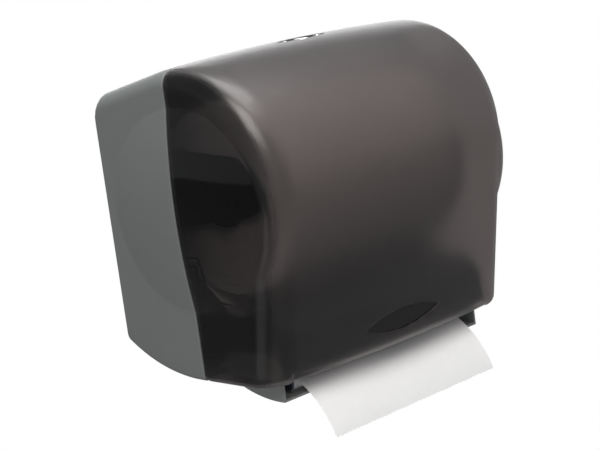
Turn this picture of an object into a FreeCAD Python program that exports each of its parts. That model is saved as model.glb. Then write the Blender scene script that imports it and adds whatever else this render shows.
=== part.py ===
"""Touchless towel dispenser: grey rear housing, smoke drop-front cover, towel roll and drive.

Millimetres, +X to the right seen from the front, +Y into the wall, +Z up.
The origin lies on the wall plane, in the middle of the width, at the height of the roll's axis.
"""
import FreeCAD
import Part
import math
import os

V = FreeCAD.Vector
AXIS_X = V(1, 0, 0)
AXIS_Y = V(0, 1, 0)
AXIS_Z = V(0, 0, 1)

# Clearances
RUN = 0.05            # radial, shaft in a plain bearing
SEAT = 0.3            # between a piece and what carries it
SEAM_GAP = 0.8        # housing edge to cover edge
SWING = 1.0           # beside a piece that swings

# Towel roll, 10 inch hardwound
TOWEL_W = 254.0
TOWEL_T = 0.4
ROLL_R = 97.0
ROLL_Y = -115.0
CORE_R = 22.2
CORE_WALL = 2.8

# Outer form of housing and cover
SIDE_ROOM = 57.0       # beside the roll, to the outer side
HALF_W = TOWEL_W / 2 + SIDE_ROOM
WALL = 3.0
SEAM_Y = -107.5
SEAM_TOP_Z = 144.7     # top's straight line, carried on to the seam
TOP_TILT = 12.5       # degrees, top falls towards the wall
SLANT = 10.6          # degrees, front leans back towards its foot
FOOT_Y = -213.5
FOOT_Z = -164.0
BASE_Z = -173.2       # underside at the seam
BASE_FALL = 1.9       # degrees, underside falls towards the front
HEEL_Z = -138.0       # underside at the wall
HEEL_SLOPE = 35.0
BROW_R = 126.0        # big rounding over the top front
WALL_TOP_R = 12.0
FOOT_R = 12.0
HEEL_R = 180.0
HEEL_CORNER_R = 5.0
BACK_SKIM = 0.3        # taken off the back to leave it flat
TOP_CROWN = 5.0
TOP_FILLET = 15.0
FRONT_CROWN = 8.0
FRONT_FILLET = 32.0
BASE_FILLET = 5.0

# Round bulge on both sides, coaxial with the roll
DOME_R = 102.5
DOME_H = 8.5
RIM_R = 15.0
DRUM_DEPTH = 44.0

# Cover hinge and lock
HINGE_Y = -117.0
HINGE_Z = -164.2
HINGE_PIN_R = 3.0
COVER_BOSS_R = 8.0
LUG_R = 6.0
LUG_OUT = 10.5         # hinge lugs, out from the chute's sides
PIN_TAIL = 10.0
LOCK_Y = -124.5
LOCK_HALF = 38.0
LOCK_HALF_D = 9.0
LOCK_POCKET = 3.0
CUP_BELOW = 2.2        # cup's rim under the brow, which falls away in front of the lock
LOCK_SCREW_X = 24.4
LOCK_R = 7.5
CUP_WALL = 2.0
CUP_FLOOR = 2.5

# Sensor window in the cover's front
WINDOW_Z = -148.0
WINDOW_HALF = 59.0
WINDOW_HALF_H = 12.0
WINDOW_T = 2.2
WINDOW_POCKET = 4.6

# Chute and dispensing unit
FRAME_IN = TOWEL_W / 2 + 5.0
FRAME_T = 3.0
HOOD_X = FRAME_IN + 17.0
HOOD_TOP_Z = -113.0
HOOD_T = 2.5
CHUTE_X = HOOD_X + 4.0
LUG_X = CHUTE_X + LUG_OUT
CHUTE_WALL = 2.5
LIP_Y = -184.0
LIP_Z = -197.0
CHUTE_R = 134.0
CHUTE_TOP_Z = -150.0
FEED_Y = -160.5
FEED_Z = -150.5
FEED_R = 17.0
FEED_SHAFT_R = 4.0
PINCH_R = 9.0
PINCH_SHAFT_R = 2.5
NIP_AIR = 0.3
EXIT_FALL = 30.0      # degrees, direction of the paper below the horizontal at the nip
TAIL_R = 110.0
TAIL_END_FALL = 70.0
SLEEVE_HALF = TOWEL_W / 2 - 5.0
BUSH_WALL = 2.0

# Gears, module 1
MODULE = 1.0
FEED_TEETH = 36
SMALL_TEETH = 12
LARGE_TEETH = 40
PINION_TEETH = 12
GEAR_T = 5.0
GEAR_GAP = 1.0
BACKLASH = 0.2

# Arms and hubs
ARM_T = 3.0
ARM_IN = TOWEL_W / 2 + 4.0
HUB_FLANGE_R = 27.0
HUB_STUB_R = 5.0
ARM_PIVOT_X = ARM_IN + 8.0
ARM_PIVOT_Y = -13.0
PIVOT_R = 2.0

# Batteries, D size
CELL_R = 16.6
CELLS = 4
CELL_L = (2 * FRAME_IN - 20.0) / CELLS
BOX_WALL = 2.5
BOX_TOP_Z = -92.0
CONTACT_T = 3.0

FAR = 400.0           # beyond everything

# Wall screws
SCREW_X = 101.6
SCREW_Z = 63.5
SCREW_HOLE_R = 3.0


def box(x0, x1, y0, y1, z0, z1):
    """Block between two corners."""
    return Part.makeBox(x1 - x0, y1 - y0, z1 - z0, V(x0, y0, z0))


def rod_x(x0, x1, y, z, r):
    """Cylinder along X."""
    return Part.makeCylinder(r, x1 - x0, V(x0, y, z), AXIS_X)


def rod_y(y0, y1, x, z, r):
    """Cylinder along Y."""
    return Part.makeCylinder(r, y1 - y0, V(x, y0, z), AXIS_Y)


def rod_z(z0, z1, x, y, r):
    """Cylinder along Z."""
    return Part.makeCylinder(r, z1 - z0, V(x, y, z0), AXIS_Z)


def cone_x(x0, x1, y, z, r0, r1):
    """Truncated cone along X, radius r0 at x0 and r1 at x1."""
    return Part.makeCone(r0, r1, x1 - x0, V(x0, y, z), AXIS_X)


def mirror_x(shape):
    """The same piece on the other side."""
    return shape.mirror(V(0, 0, 0), AXIS_X)


def fuse_all(shapes):
    """One solid from several that meet."""
    result = shapes[0]
    if len(shapes) > 1:
        result = shapes[0].multiFuse(shapes[1:])
    return result.removeSplitter()


def rounded_edges(corners, radii, place):
    """Closed wire through corner points in a plane, each corner rounded.

    place turns a pair of plane coordinates into a point in space.
    """
    count = len(corners)
    starts = []
    ends = []
    edges = []
    for i in range(count):
        px, py = corners[i - 1]
        cx, cy = corners[i]
        nx, ny = corners[(i + 1) % count]
        back = math.hypot(px - cx, py - cy)
        ahead = math.hypot(nx - cx, ny - cy)
        ux, uy = (px - cx) / back, (py - cy) / back
        wx, wy = (nx - cx) / ahead, (ny - cy) / ahead
        inner = math.acos(max(-1.0, min(1.0, ux * wx + uy * wy)))
        reach = radii[i] / math.tan(inner / 2)
        a = (cx + ux * reach, cy + uy * reach)
        b = (cx + wx * reach, cy + wy * reach)
        bx, by = ux + wx, uy + wy
        size = math.hypot(bx, by)
        centre_gap = radii[i] / math.sin(inner / 2)
        mid = (cx + bx / size * (centre_gap - radii[i]), cy + by / size * (centre_gap - radii[i]))
        starts.append(a)
        ends.append(b)
        if radii[i] > 0:
            edges.append(Part.Arc(place(*a), place(*mid), place(*b)).toShape())
        else:
            edges.append(None)
    wire = []
    for i in range(count):
        if edges[i] is not None:
            wire.append(edges[i])
        a = ends[i]
        b = starts[(i + 1) % count]
        wire.append(Part.LineSegment(place(*a), place(*b)).toShape())
    return Part.Wire(wire)


def plate_x(corners, radii, x0, x1):
    """Plate across X with a rounded outline given as (y, z) corners."""
    wire = rounded_edges(corners, radii, lambda y, z: V(x0, y, z))
    return Part.Face(wire).extrude(V(x1 - x0, 0, 0))


def plate_y(corners, radii, y0, y1):
    """Plate across Y with a rounded outline given as (x, z) corners."""
    wire = rounded_edges(corners, radii, lambda x, z: V(x, y0, z))
    return Part.Face(wire).extrude(V(0, y1 - y0, 0))


def plate_z(corners, radii, z0, z1):
    """Plate across Z with a rounded outline given as (x, y) corners."""
    wire = rounded_edges(corners, radii, lambda x, y: V(x, y, z0))
    return Part.Face(wire).extrude(V(0, 0, z1 - z0))


def lens_face(half, half_h, place):
    """Almond outline: two arcs that meet in a point at each end."""
    left = place(-half, 0)
    right = place(half, 0)
    upper = Part.Arc(left, place(0, half_h), right).toShape()
    lower = Part.Arc(right, place(0, -half_h), left).toShape()
    return Part.Face(Part.Wire([upper, lower]))


def fillet_drop(radius, reach, x):
    """How far a rounded edge has fallen at x; the edge ends at reach."""
    over = abs(x) - (reach - radius)
    if over <= 0:
        return 0.0
    return radius - math.sqrt(max(0.0, radius * radius - over * over))


def outline_at(x, inset):
    """Side outline of the whole body at one X, moved inwards by inset."""
    reach = HALF_W - inset
    share = (x / reach) ** 2
    top_fillet = max(TOP_FILLET - inset, 2.0)
    front_fillet = FRONT_FILLET - inset
    top = TOP_CROWN * share + fillet_drop(top_fillet, reach, x) + inset
    front = FRONT_CROWN * share + fillet_drop(front_fillet, reach, x) + inset
    base = fillet_drop(max(BASE_FILLET - inset, 1.0), reach, x) + inset
    tilt = math.radians(TOP_TILT)
    slant = math.radians(SLANT)
    fall = math.radians(BASE_FALL)
    rise = math.radians(HEEL_SLOPE)
    lines = [
        ((SEAM_Y, SEAM_TOP_Z), (-math.cos(tilt), math.sin(tilt)), top),
        ((FOOT_Y, FOOT_Z), (math.sin(slant), -math.cos(slant)), front),
        ((SEAM_Y, BASE_Z), (math.cos(fall), math.sin(fall)), base),
        ((0.0, HEEL_Z), (math.cos(rise), math.sin(rise)), base),
        ((0.0, 0.0), (0.0, 1.0), inset - BACK_SKIM),
    ]
    moved = []
    for (py, pz), (dy, dz), shift in lines:
        moved.append((py - dz * shift, pz + dy * shift, dy, dz))
    corners = []
    for i in range(len(moved)):
        ay, az, ady, adz = moved[i - 1]
        by, bz, bdy, bdz = moved[i]
        cross = ady * bdz - adz * bdy
        t = ((by - ay) * bdz - (bz - az) * bdy) / cross
        corners.append((ay + t * ady, az + t * adz))
    brow = BROW_R - (top + front) / 2
    radii = [WALL_TOP_R - inset, brow, FOOT_R - inset, HEEL_R, max(HEEL_CORNER_R - inset, 1.0)]
    return rounded_edges(corners, radii, lambda y, z: V(x, y, z))


def drum(inset):
    """Right-hand side bulge: rounded rim and shallow dome, turned about the roll's axis."""
    face_x = HALF_W - inset
    rim_c = HALF_W - RIM_R
    rim = RIM_R - inset
    deep = HALF_W - DRUM_DEPTH
    ball = (DOME_R ** 2 + DOME_H ** 2) / (2 * DOME_H)
    half = DOME_R / 2
    half_rise = math.sqrt(ball ** 2 - half ** 2) - math.sqrt(ball ** 2 - DOME_R ** 2)
    bend = math.sqrt(0.5)
    points = [
        V(deep, ROLL_Y, 0),
        V(deep, ROLL_Y, DOME_R + rim),
        V(rim_c, ROLL_Y, DOME_R + rim),
        V(face_x, ROLL_Y, DOME_R),
        V(face_x + DOME_H, ROLL_Y, 0),
    ]
    edges = [
        Part.LineSegment(points[0], points[1]).toShape(),
        Part.LineSegment(points[1], points[2]).toShape(),
        Part.Arc(points[2], V(rim_c + rim * bend, ROLL_Y, DOME_R + rim * bend), points[3]).toShape(),
        Part.Arc(points[3], V(face_x + half_rise, ROLL_Y, half), points[4]).toShape(),
        Part.LineSegment(points[4], points[0]).toShape(),
    ]
    face = Part.Face(Part.Wire(edges))
    turned = face.revolve(V(0, ROLL_Y, 0), AXIS_X, 360)
    return turned.common(box(0, FAR, -FAR, BACK_SKIM - inset, -FAR, FAR))


def envelope(inset):
    """Whole outer body, housing and cover together, moved inwards by inset."""
    reach = HALF_W - inset
    fillet = FRONT_FILLET - inset
    flat = reach - fillet
    stations = [0.0, 0.25 * flat, 0.5 * flat, 0.75 * flat, 0.9 * flat, flat]
    for angle in (8, 16, 24, 33, 42, 51, 60, 69, 76, 83, 90):
        stations.append(flat + fillet * math.sin(math.radians(angle)))
    half = [outline_at(x, inset) for x in stations]
    other = [outline_at(-x, inset) for x in stations[1:]]
    wires = list(reversed(other)) + half
    body = Part.makeLoft(wires, True, False)
    side = drum(inset)
    body = body.fuse([side, mirror_x(side)])
    return body.common(box(-FAR, FAR, -FAR, -inset, -FAR, FAR))


def straight_body(inset, half):
    """Body that keeps the outline at one X all across, moved inwards by inset."""
    return Part.Face(outline_at(-half, inset)).extrude(V(2 * half, 0, 0))


def front_normal():
    """Outward normal of the slanted front, and the direction up along it."""
    slant = math.radians(SLANT)
    outward = V(0, -math.cos(slant), -math.sin(slant))
    upward = V(0, -math.sin(slant), math.cos(slant))
    return outward, upward


def front_point(z):
    """Point on the middle of the slanted front at height z."""
    return V(0, FOOT_Y - (z - FOOT_Z) * math.tan(math.radians(SLANT)), z)


def window_prism(half, half_h, depth0, depth1):
    """Almond prism square to the slanted front, between two depths below its surface."""
    outward, upward = front_normal()
    start = front_point(WINDOW_Z) - outward * depth0
    face = lens_face(half, half_h, lambda a, b: start + AXIS_X * a + upward * b)
    return face.extrude(outward * (depth0 - depth1))


def brow_z(y):
    """Height of the brow at the middle of the width: circle touching top line and front line."""
    tilt = math.radians(TOP_TILT)
    slant = math.radians(SLANT)
    foot_gap = FOOT_Y * math.cos(slant) + FOOT_Z * math.sin(slant) + BROW_R
    top_gap = SEAM_Y * math.sin(tilt) + SEAM_TOP_Z * math.cos(tilt) - BROW_R
    det = math.cos(slant) * math.cos(tilt) - math.sin(slant) * math.sin(tilt)
    centre_y = (foot_gap * math.cos(tilt) - top_gap * math.sin(slant)) / det
    centre_z = (top_gap * math.cos(slant) - foot_gap * math.sin(tilt)) / det
    return centre_z + math.sqrt(BROW_R ** 2 - (y - centre_y) ** 2)


LOCK_TOP_Z = brow_z(LOCK_Y)


def lock_prism(half, half_d, z0, z1):
    """Upright almond prism about the lock's axis."""
    face = lens_face(half, half_d, lambda a, b: V(a, LOCK_Y + b, z0))
    return face.extrude(V(0, 0, z1 - z0))


def shell_blank():
    """Hollow body that housing and cover are both cut from."""
    return envelope(0.0).cut(envelope(WALL))


HOUSING_EDGE = SEAM_Y + SEAM_GAP / 2
COVER_EDGE = SEAM_Y - SEAM_GAP / 2
TONGUE_T = 2.0
TONGUE_OUT = 2.4
TONGUE_AIR = 0.6
TONGUE_LOW = -132.0
BOSS_R = 9.0
BOSS_H = 3.0


def rear_housing(blank):
    """Opaque rear shell with back wall, locating tongue and wall screw bosses."""
    body = blank.common(box(-FAR, FAR, HOUSING_EDGE, 1.0, -FAR, FAR))
    ring_out = envelope(WALL + TONGUE_AIR)
    ring_in = envelope(WALL + TONGUE_AIR + TONGUE_T)
    ring = ring_out.cut(ring_in)
    tongue = ring.common(box(-FAR, FAR, HOUSING_EDGE - TONGUE_OUT, HOUSING_EDGE + 4, TONGUE_LOW, FAR))
    web = envelope(WALL - SEAT).cut(ring_in)
    step = web.common(box(-FAR, FAR, HOUSING_EDGE + 0.6, HOUSING_EDGE + 4, TONGUE_LOW, FAR))
    body = body.fuse([tongue, step])
    for sx in (-1, 1):
        for sz in (-1, 1):
            body = body.fuse(rod_y(-WALL - BOSS_H, -WALL / 2, sx * SCREW_X, sz * SCREW_Z, BOSS_R))
    for sx in (-1, 1):
        for sz in (-1, 1):
            body = body.cut(rod_y(-WALL - BOSS_H - 1, 1, sx * SCREW_X, sz * SCREW_Z, SCREW_HOLE_R))
    return body.removeSplitter()


COVER_SIDE_FLOOR = CHUTE_X + 4.5
COVER_FLANGE_Y = -205.0
CORNER_R = COVER_EDGE - HINGE_Y


def front_cover(blank):
    """Smoke drop-front shell: open foot over the chute, hinge bosses, lock and window pockets."""
    body = blank.common(box(-FAR, FAR, -FAR, COVER_EDGE, -FAR, FAR))
    body = body.cut(box(-COVER_SIDE_FLOOR, COVER_SIDE_FLOOR, COVER_FLANGE_Y, 0, -FAR, HINGE_Z))
    corner = box(-FAR, FAR, HINGE_Y, 0, -FAR, HINGE_Z).cut(rod_x(-FAR, FAR, HINGE_Y, HINGE_Z, CORNER_R))
    body = body.cut(corner)
    boss = rod_x(LUG_X + SEAT, HALF_W - WALL / 2, HINGE_Y, HINGE_Z, COVER_BOSS_R)
    body = body.fuse([boss, mirror_x(boss)])
    cup_top = LOCK_TOP_Z - CUP_BELOW
    cup_low = LOCK_TOP_Z - LOCK_POCKET - CUP_FLOOR
    cup = lock_prism(LOCK_HALF + 2.5 * CUP_WALL, LOCK_HALF_D + CUP_WALL, cup_low, cup_top)
    window_cup = window_prism(WINDOW_HALF + 3 * CUP_WALL, WINDOW_HALF_H + CUP_WALL, 1.2,
                              WINDOW_POCKET + CUP_FLOOR)
    body = body.fuse([cup, window_cup])
    pocket = lock_prism(LOCK_HALF, LOCK_HALF_D, LOCK_TOP_Z - LOCK_POCKET, LOCK_TOP_Z + 20)
    window_pocket = window_prism(WINDOW_HALF, WINDOW_HALF_H, -20, WINDOW_POCKET)
    window_hole = window_prism(WINDOW_HALF - 5, WINDOW_HALF_H - 3, 0, WINDOW_POCKET + CUP_FLOOR + 1)
    cuts = [pocket, window_pocket, window_hole]
    cuts.append(rod_z(cup_low - 1, LOCK_TOP_Z, 0, LOCK_Y, LOCK_R + SEAT + 0.8))
    for side in (-1, 1):
        cuts.append(rod_z(cup_low - 1, LOCK_TOP_Z, side * LOCK_SCREW_X, LOCK_Y, 1.6))
    hole = rod_x(LUG_X, LUG_X + PIN_TAIL + 3, HINGE_Y, HINGE_Z, HINGE_PIN_R + RUN)
    cuts += [hole, mirror_x(hole)]
    for cutter in cuts:
        body = body.cut(cutter)
    return body.removeSplitter()


def cover_hinge_pins():
    """Two steel pins that the cover turns on."""
    pin = rod_x(CHUTE_X + SEAT, LUG_X + PIN_TAIL, HINGE_Y, HINGE_Z, HINGE_PIN_R)
    return Part.makeCompound([pin, mirror_x(pin)])


def sensor_window():
    """Dark almond window in its pocket at the foot of the cover."""
    lens = window_prism(WINDOW_HALF - SEAT * 2, WINDOW_HALF_H - SEAT, WINDOW_POCKET - SEAT / 2 - WINDOW_T,
                        WINDOW_POCKET - SEAT / 2)
    return lens


PLATE_T = 1.2


def lock_plate():
    """Thin almond inlay on the floor of the lock pocket."""
    z0 = LOCK_TOP_Z - LOCK_POCKET + SEAT / 6
    plate = lock_prism(LOCK_HALF - 2 * SEAT, LOCK_HALF_D - SEAT, z0, z0 + PLATE_T)
    plate = plate.cut(rod_z(z0 - 1, z0 + 5, 0, LOCK_Y, LOCK_R + 0.5))
    for side in (-1, 1):
        plate = plate.cut(rod_z(z0 - 1, z0 + 5, side * LOCK_SCREW_X, LOCK_Y, 1.6))
    return plate


BARREL_LOW = 121.0
BARREL_T = 2.0


def lock_barrel():
    """Tube under the pocket floor that carries the lock cylinder, with two screw ears."""
    z1 = LOCK_TOP_Z - LOCK_POCKET - CUP_FLOOR - SEAT / 6
    tube = rod_z(BARREL_LOW, z1, 0, LOCK_Y, LOCK_R + RUN + BARREL_T)
    ears = box(-LOCK_SCREW_X - 5, LOCK_SCREW_X + 5, LOCK_Y - 4, LOCK_Y + 4, z1 - 5, z1)
    body = tube.fuse(ears).cut(rod_z(BARREL_LOW - 1, z1 + 1, 0, LOCK_Y, LOCK_R + RUN))
    for side in (-1, 1):
        body = body.cut(rod_z(z1 - 6, z1 + 1, side * LOCK_SCREW_X, LOCK_Y, 1.25))
    return body.removeSplitter()


def lock_screws():
    """Two pan-head screws through plate and pocket floor into the barrel's ears."""
    top = LOCK_TOP_Z - LOCK_POCKET + PLATE_T + SEAT / 3
    screws = []
    for side in (-1, 1):
        head = rod_z(top, top + 1.4, side * LOCK_SCREW_X, LOCK_Y, 2.8)
        head = head.makeFillet(0.9, [head.Edges[0]])
        shank = rod_z(top - 9, top + 0.4, side * LOCK_SCREW_X, LOCK_Y, 1.2)
        slot = box(side * LOCK_SCREW_X - 2, side * LOCK_SCREW_X + 2, LOCK_Y - 0.3, LOCK_Y + 0.3, top + 0.8, top + 2)
        screws.append(head.fuse(shank).cut(slot))
    return Part.makeCompound(screws)


CAM_Z = 116.5
CAM_T = 2.5
CAM_HUB_R = 8.0
POST_R = 2.5
POST_GAP = 1.0
POST_Y = HOUSING_EDGE + 4.6


def lock_cylinder():
    """Key cylinder with a proud round face and a key slot."""
    top = LOCK_TOP_Z - LOCK_POCKET + PLATE_T + 1.2
    body = rod_z(CAM_Z + CAM_T, top, 0, LOCK_Y, LOCK_R)
    body = body.makeFillet(0.8, [body.Edges[0]])
    slot = box(-0.6, 0.6, LOCK_Y - 3.5, LOCK_Y + 3.5, top - 6, top + 1)
    ward = rod_z(top - 6, top + 1, 0, LOCK_Y, 1.4)
    stem = rod_z(CAM_Z, CAM_Z + CAM_T + 1, 0, LOCK_Y, 3.0)
    return body.fuse(stem).cut(slot).cut(ward)


def lock_cam():
    """Hook under the cylinder; a quarter turn brings its arc behind the catch post."""
    post_reach = POST_Y - LOCK_Y
    inner = post_reach + POST_R + POST_GAP
    outer = inner + 5.0
    hub = rod_z(CAM_Z, CAM_Z + CAM_T, 0, LOCK_Y, CAM_HUB_R)
    ring = rod_z(CAM_Z, CAM_Z + CAM_T, 0, LOCK_Y, outer).cut(rod_z(CAM_Z - 1, CAM_Z + CAM_T + 1, 0, LOCK_Y, inner))
    wedge = Part.makePolygon([V(0, LOCK_Y, CAM_Z), V(FAR, LOCK_Y + FAR * 0.36, CAM_Z),
                              V(FAR, LOCK_Y - FAR * 0.45, CAM_Z), V(0, LOCK_Y, CAM_Z)])
    sector = Part.Face(wedge).extrude(V(0, 0, CAM_T))
    hook = ring.common(sector)
    arm = box(0, outer - 0.6, -3.2, 3.2, CAM_Z, CAM_Z + CAM_T)
    arm.rotate(V(0, 0, 0), AXIS_Z, -18.0)
    arm.translate(V(0, LOCK_Y, 0))
    body = fuse_all([hub, hook, arm])
    body = body.cut(rod_z(CAM_Z - 1, CAM_Z + CAM_T + 1, 0, LOCK_Y, 3.0 + RUN))
    return body


def latch_catch():
    """Block under the housing's top with the post that the cam hooks behind."""
    low = CAM_Z - 2.5
    block = box(-14, 14, POST_Y - 3.5, POST_Y + 14, 128.0, 160.0)
    behind = block.common(box(-FAR, FAR, HOUSING_EDGE + 4 + SEAT, 0, -FAR, FAR))
    block = block.common(envelope(WALL + TONGUE_AIR + TONGUE_T + SEAT))
    block = block.fuse(behind.common(envelope(WALL + SEAT)))
    post = rod_z(low, 129.0, 0, POST_Y, POST_R)
    return block.fuse(post).removeSplitter()


def chute_floor_z(y, inset):
    """Height of the chute's rounded underside at y, moved inwards by inset."""
    return LIP_Z + CHUTE_R - math.sqrt((CHUTE_R - inset) ** 2 - (y - LIP_Y) ** 2)


CHUTE_BACK_Y = HOUSING_EDGE - 0.5
BLADE_Y = -172.0
BLADE_T = 1.0
LEDGE_TOP_Z = -184.5
LEDGE_X = TOWEL_W / 2 + 2.0
BLADE_SCREW_X = LEDGE_X - 29.0
FLANGE_DEPTH = 20.0


def chute_disc(inset, x0, x1):
    """Round body whose underside is the chute's underside, moved inwards by inset."""
    return rod_x(x0, x1, LIP_Y, LIP_Z + CHUTE_R, CHUTE_R - inset)


def paper_chute():
    """Grey trough under the rollers: round floor, lip, side walls, blade ledge and hinge lugs."""
    band = chute_disc(0, -CHUTE_X, CHUTE_X).cut(chute_disc(CHUTE_WALL, -FAR, FAR))
    floor = band.common(box(-FAR, FAR, LIP_Y, CHUTE_BACK_Y, -FAR, LIP_Z + CHUTE_R))
    cheek = plate_x([(CHUTE_BACK_Y, -FAR), (LIP_Y, -FAR), (LIP_Y, -166.0), (-178.0, CHUTE_TOP_Z),
                     (-112.0, CHUTE_TOP_Z), (-110.4, HINGE_Z), (-110.4, -169.0), (CHUTE_BACK_Y, -170.5)],
                    [0, 0, 4, 8, 5, 0, 0, 0], CHUTE_X - CHUTE_WALL, CHUTE_X)
    cheek = cheek.common(chute_disc(0, -FAR, FAR))
    lug = rod_x(CHUTE_X - CHUTE_WALL, LUG_X, HINGE_Y, HINGE_Z, LUG_R)
    ledge = box(-LEDGE_X, LEDGE_X, BLADE_Y + BLADE_T / 2 + SEAT / 2, BLADE_Y + 7, -FAR, LEDGE_TOP_Z)
    ledge = ledge.common(chute_disc(CHUTE_WALL / 2, -FAR, FAR))
    inner = straight_body(WALL + SEAT, CHUTE_X)
    flange = inner.cut(straight_body(WALL + SEAT + CHUTE_WALL, CHUTE_X + 1))
    front = CHUTE_BACK_Y - 3.0
    flange = flange.common(box(-FAR, FAR, front, CHUTE_BACK_Y + FLANGE_DEPTH, -FAR, -150.0))
    riser = box(-CHUTE_X, CHUTE_X, front, CHUTE_BACK_Y, -172.6, -168.5)
    body = fuse_all([floor, cheek, mirror_x(cheek), lug, mirror_x(lug), ledge, flange, riser])
    hole = rod_x(CHUTE_X - CHUTE_WALL - 1, LUG_X + 1, HINGE_Y, HINGE_Z, HINGE_PIN_R + RUN)
    return body.cut(hole).cut(mirror_x(hole))


def nip_direction():
    """Unit vectors at the nip: along the paper, and square to it towards the feed roller."""
    fall = math.radians(EXIT_FALL)
    along = (-math.cos(fall), -math.sin(fall))
    across = (-math.sin(fall), math.cos(fall))
    return along, across


def nip_places():
    """Centre of the paper at the nip, and the pinch roller's centre."""
    _, across = nip_direction()
    paper = FEED_R + NIP_AIR + TOWEL_T / 2
    centres = FEED_R + PINCH_R + 2 * NIP_AIR + TOWEL_T
    nip = (FEED_Y - across[0] * paper, FEED_Z - across[1] * paper)
    pinch = (FEED_Y - across[0] * centres, FEED_Z - across[1] * centres)
    return nip, pinch


TAIL_START = 27.0
BOARD_X = -ARM_IN - 19.0


def web_path():
    """Corners of the paper's route: roll tangent, feed roller tangent, nip and exit."""
    along, across = nip_direction()
    nip, _ = nip_places()
    big = ROLL_R + SEAT + TOWEL_T / 2
    small = FEED_R + NIP_AIR + TOWEL_T / 2
    gap = math.hypot(FEED_Y - ROLL_Y, FEED_Z)
    base = math.atan2(-FEED_Z, ROLL_Y - FEED_Y)
    lean = math.acos((big - small) / gap)
    angle = math.pi + base + lean
    normal = (math.cos(angle), math.sin(angle))
    return along, nip, normal, big, small


def paper_web():
    """Paper from the underside of the roll, round the feed roller's foot and out to the exit."""
    along, nip, normal, big, small = web_path()
    ny, nz = normal
    half = TOWEL_T / 2
    exit_point = (nip[0] + along[0] * TAIL_START, nip[1] + along[1] * TAIL_START)
    mid_angle = (math.atan2(nz, ny) + math.atan2(nip[1] - FEED_Z, nip[0] - FEED_Y)) / 2
    x0 = -TOWEL_W / 2

    def side(shift):
        a = V(x0, ROLL_Y + ny * (big + shift), nz * (big + shift))
        b = V(x0, FEED_Y + ny * (small + shift), FEED_Z + nz * (small + shift))
        c = V(x0, FEED_Y + math.cos(mid_angle) * (small + shift), FEED_Z + math.sin(mid_angle) * (small + shift))
        d = V(x0, nip[0] - along[1] * shift, nip[1] + along[0] * shift)
        e = V(x0, exit_point[0] - along[1] * shift, exit_point[1] + along[0] * shift)
        return a, b, c, d, e

    a0, b0, c0, d0, e0 = side(-half)
    a1, b1, c1, d1, e1 = side(half)
    wire = Part.Wire([
        Part.LineSegment(a0, b0).toShape(),
        Part.Arc(b0, c0, d0).toShape(),
        Part.LineSegment(d0, e0).toShape(),
        Part.LineSegment(e0, e1).toShape(),
        Part.LineSegment(e1, d1).toShape(),
        Part.Arc(d1, c1, b1).toShape(),
        Part.LineSegment(b1, a1).toShape(),
        Part.LineSegment(a1, a0).toShape(),
    ])
    return Part.Face(wire).extrude(V(TOWEL_W, 0, 0))


def tail_point(fall, shift):
    """Point of the hanging sheet where it falls at the given angle, shifted to one face."""
    along, nip, _, _, _ = web_path()
    start = math.radians(EXIT_FALL)
    y0 = nip[0] + along[0] * TAIL_START
    z0 = nip[1] + along[1] * TAIL_START
    y = y0 - (TAIL_R + shift) * math.sin(fall) + TAIL_R * math.sin(start)
    z = z0 - TAIL_R * math.cos(start) + (TAIL_R + shift) * math.cos(fall)
    return V(-TOWEL_W / 2, y, z)


def paper_tail():
    """Free end of the towel that hangs out under the cover."""
    half = TOWEL_T / 2
    first = math.radians(EXIT_FALL)
    last = math.radians(TAIL_END_FALL)
    mid = (first + last) / 2
    wire = Part.Wire([
        Part.Arc(tail_point(first, half), tail_point(mid, half), tail_point(last, half)).toShape(),
        Part.LineSegment(tail_point(last, half), tail_point(last, -half)).toShape(),
        Part.Arc(tail_point(last, -half), tail_point(mid, -half), tail_point(first, -half)).toShape(),
        Part.LineSegment(tail_point(first, -half), tail_point(first, half)).toShape(),
    ])
    return Part.Face(wire).extrude(V(TOWEL_W, 0, 0))


def towel_roll():
    """Wound paper."""
    half = TOWEL_W / 2
    return rod_x(-half, half, ROLL_Y, 0, ROLL_R).cut(rod_x(-half - 1, half + 1, ROLL_Y, 0, CORE_R + RUN))


def roll_core():
    """Cardboard core."""
    half = TOWEL_W / 2
    return rod_x(-half, half, ROLL_Y, 0, CORE_R).cut(rod_x(-half - 1, half + 1, ROLL_Y, 0, CORE_R - CORE_WALL))


PLUG_L = 14.0
PLUG_TAPER = 3.0


def hub():
    """Right-hand hub: tapered plug in the core, flange beside the roll, stub axle in the arm."""
    face = TOWEL_W / 2
    bore = CORE_R - CORE_WALL
    plug = cone_x(face - PLUG_L, face + SEAT, ROLL_Y, 0, bore - SEAT - PLUG_TAPER, bore - SEAT)
    flange = rod_x(face + SEAT, ARM_IN - SEAT, ROLL_Y, 0, HUB_FLANGE_R)
    stub = rod_x(ARM_IN - SEAT - 0.1, ARM_IN + ARM_T + 7, ROLL_Y, 0, HUB_STUB_R)
    body = fuse_all([plug, flange, stub])
    pocket = rod_x(face - PLUG_L - 1, face - 3, ROLL_Y, 0, 9.0)
    return body.cut(pocket)


ARM_CORNERS = [(-20.0, -44.0), (-20.0, 58.0), (-60.0, 52.0), (-142.0, 44.0), (-158.0, 31.0),
               (-174.0, 8.0), (-170.0, -9.0), (-146.0, -17.0), (-100.0, -22.0), (-52.0, -27.0)]
ARM_RADII = [0, 3, 40, 10, 12, 8, 6, 20, 40, 30]


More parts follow.
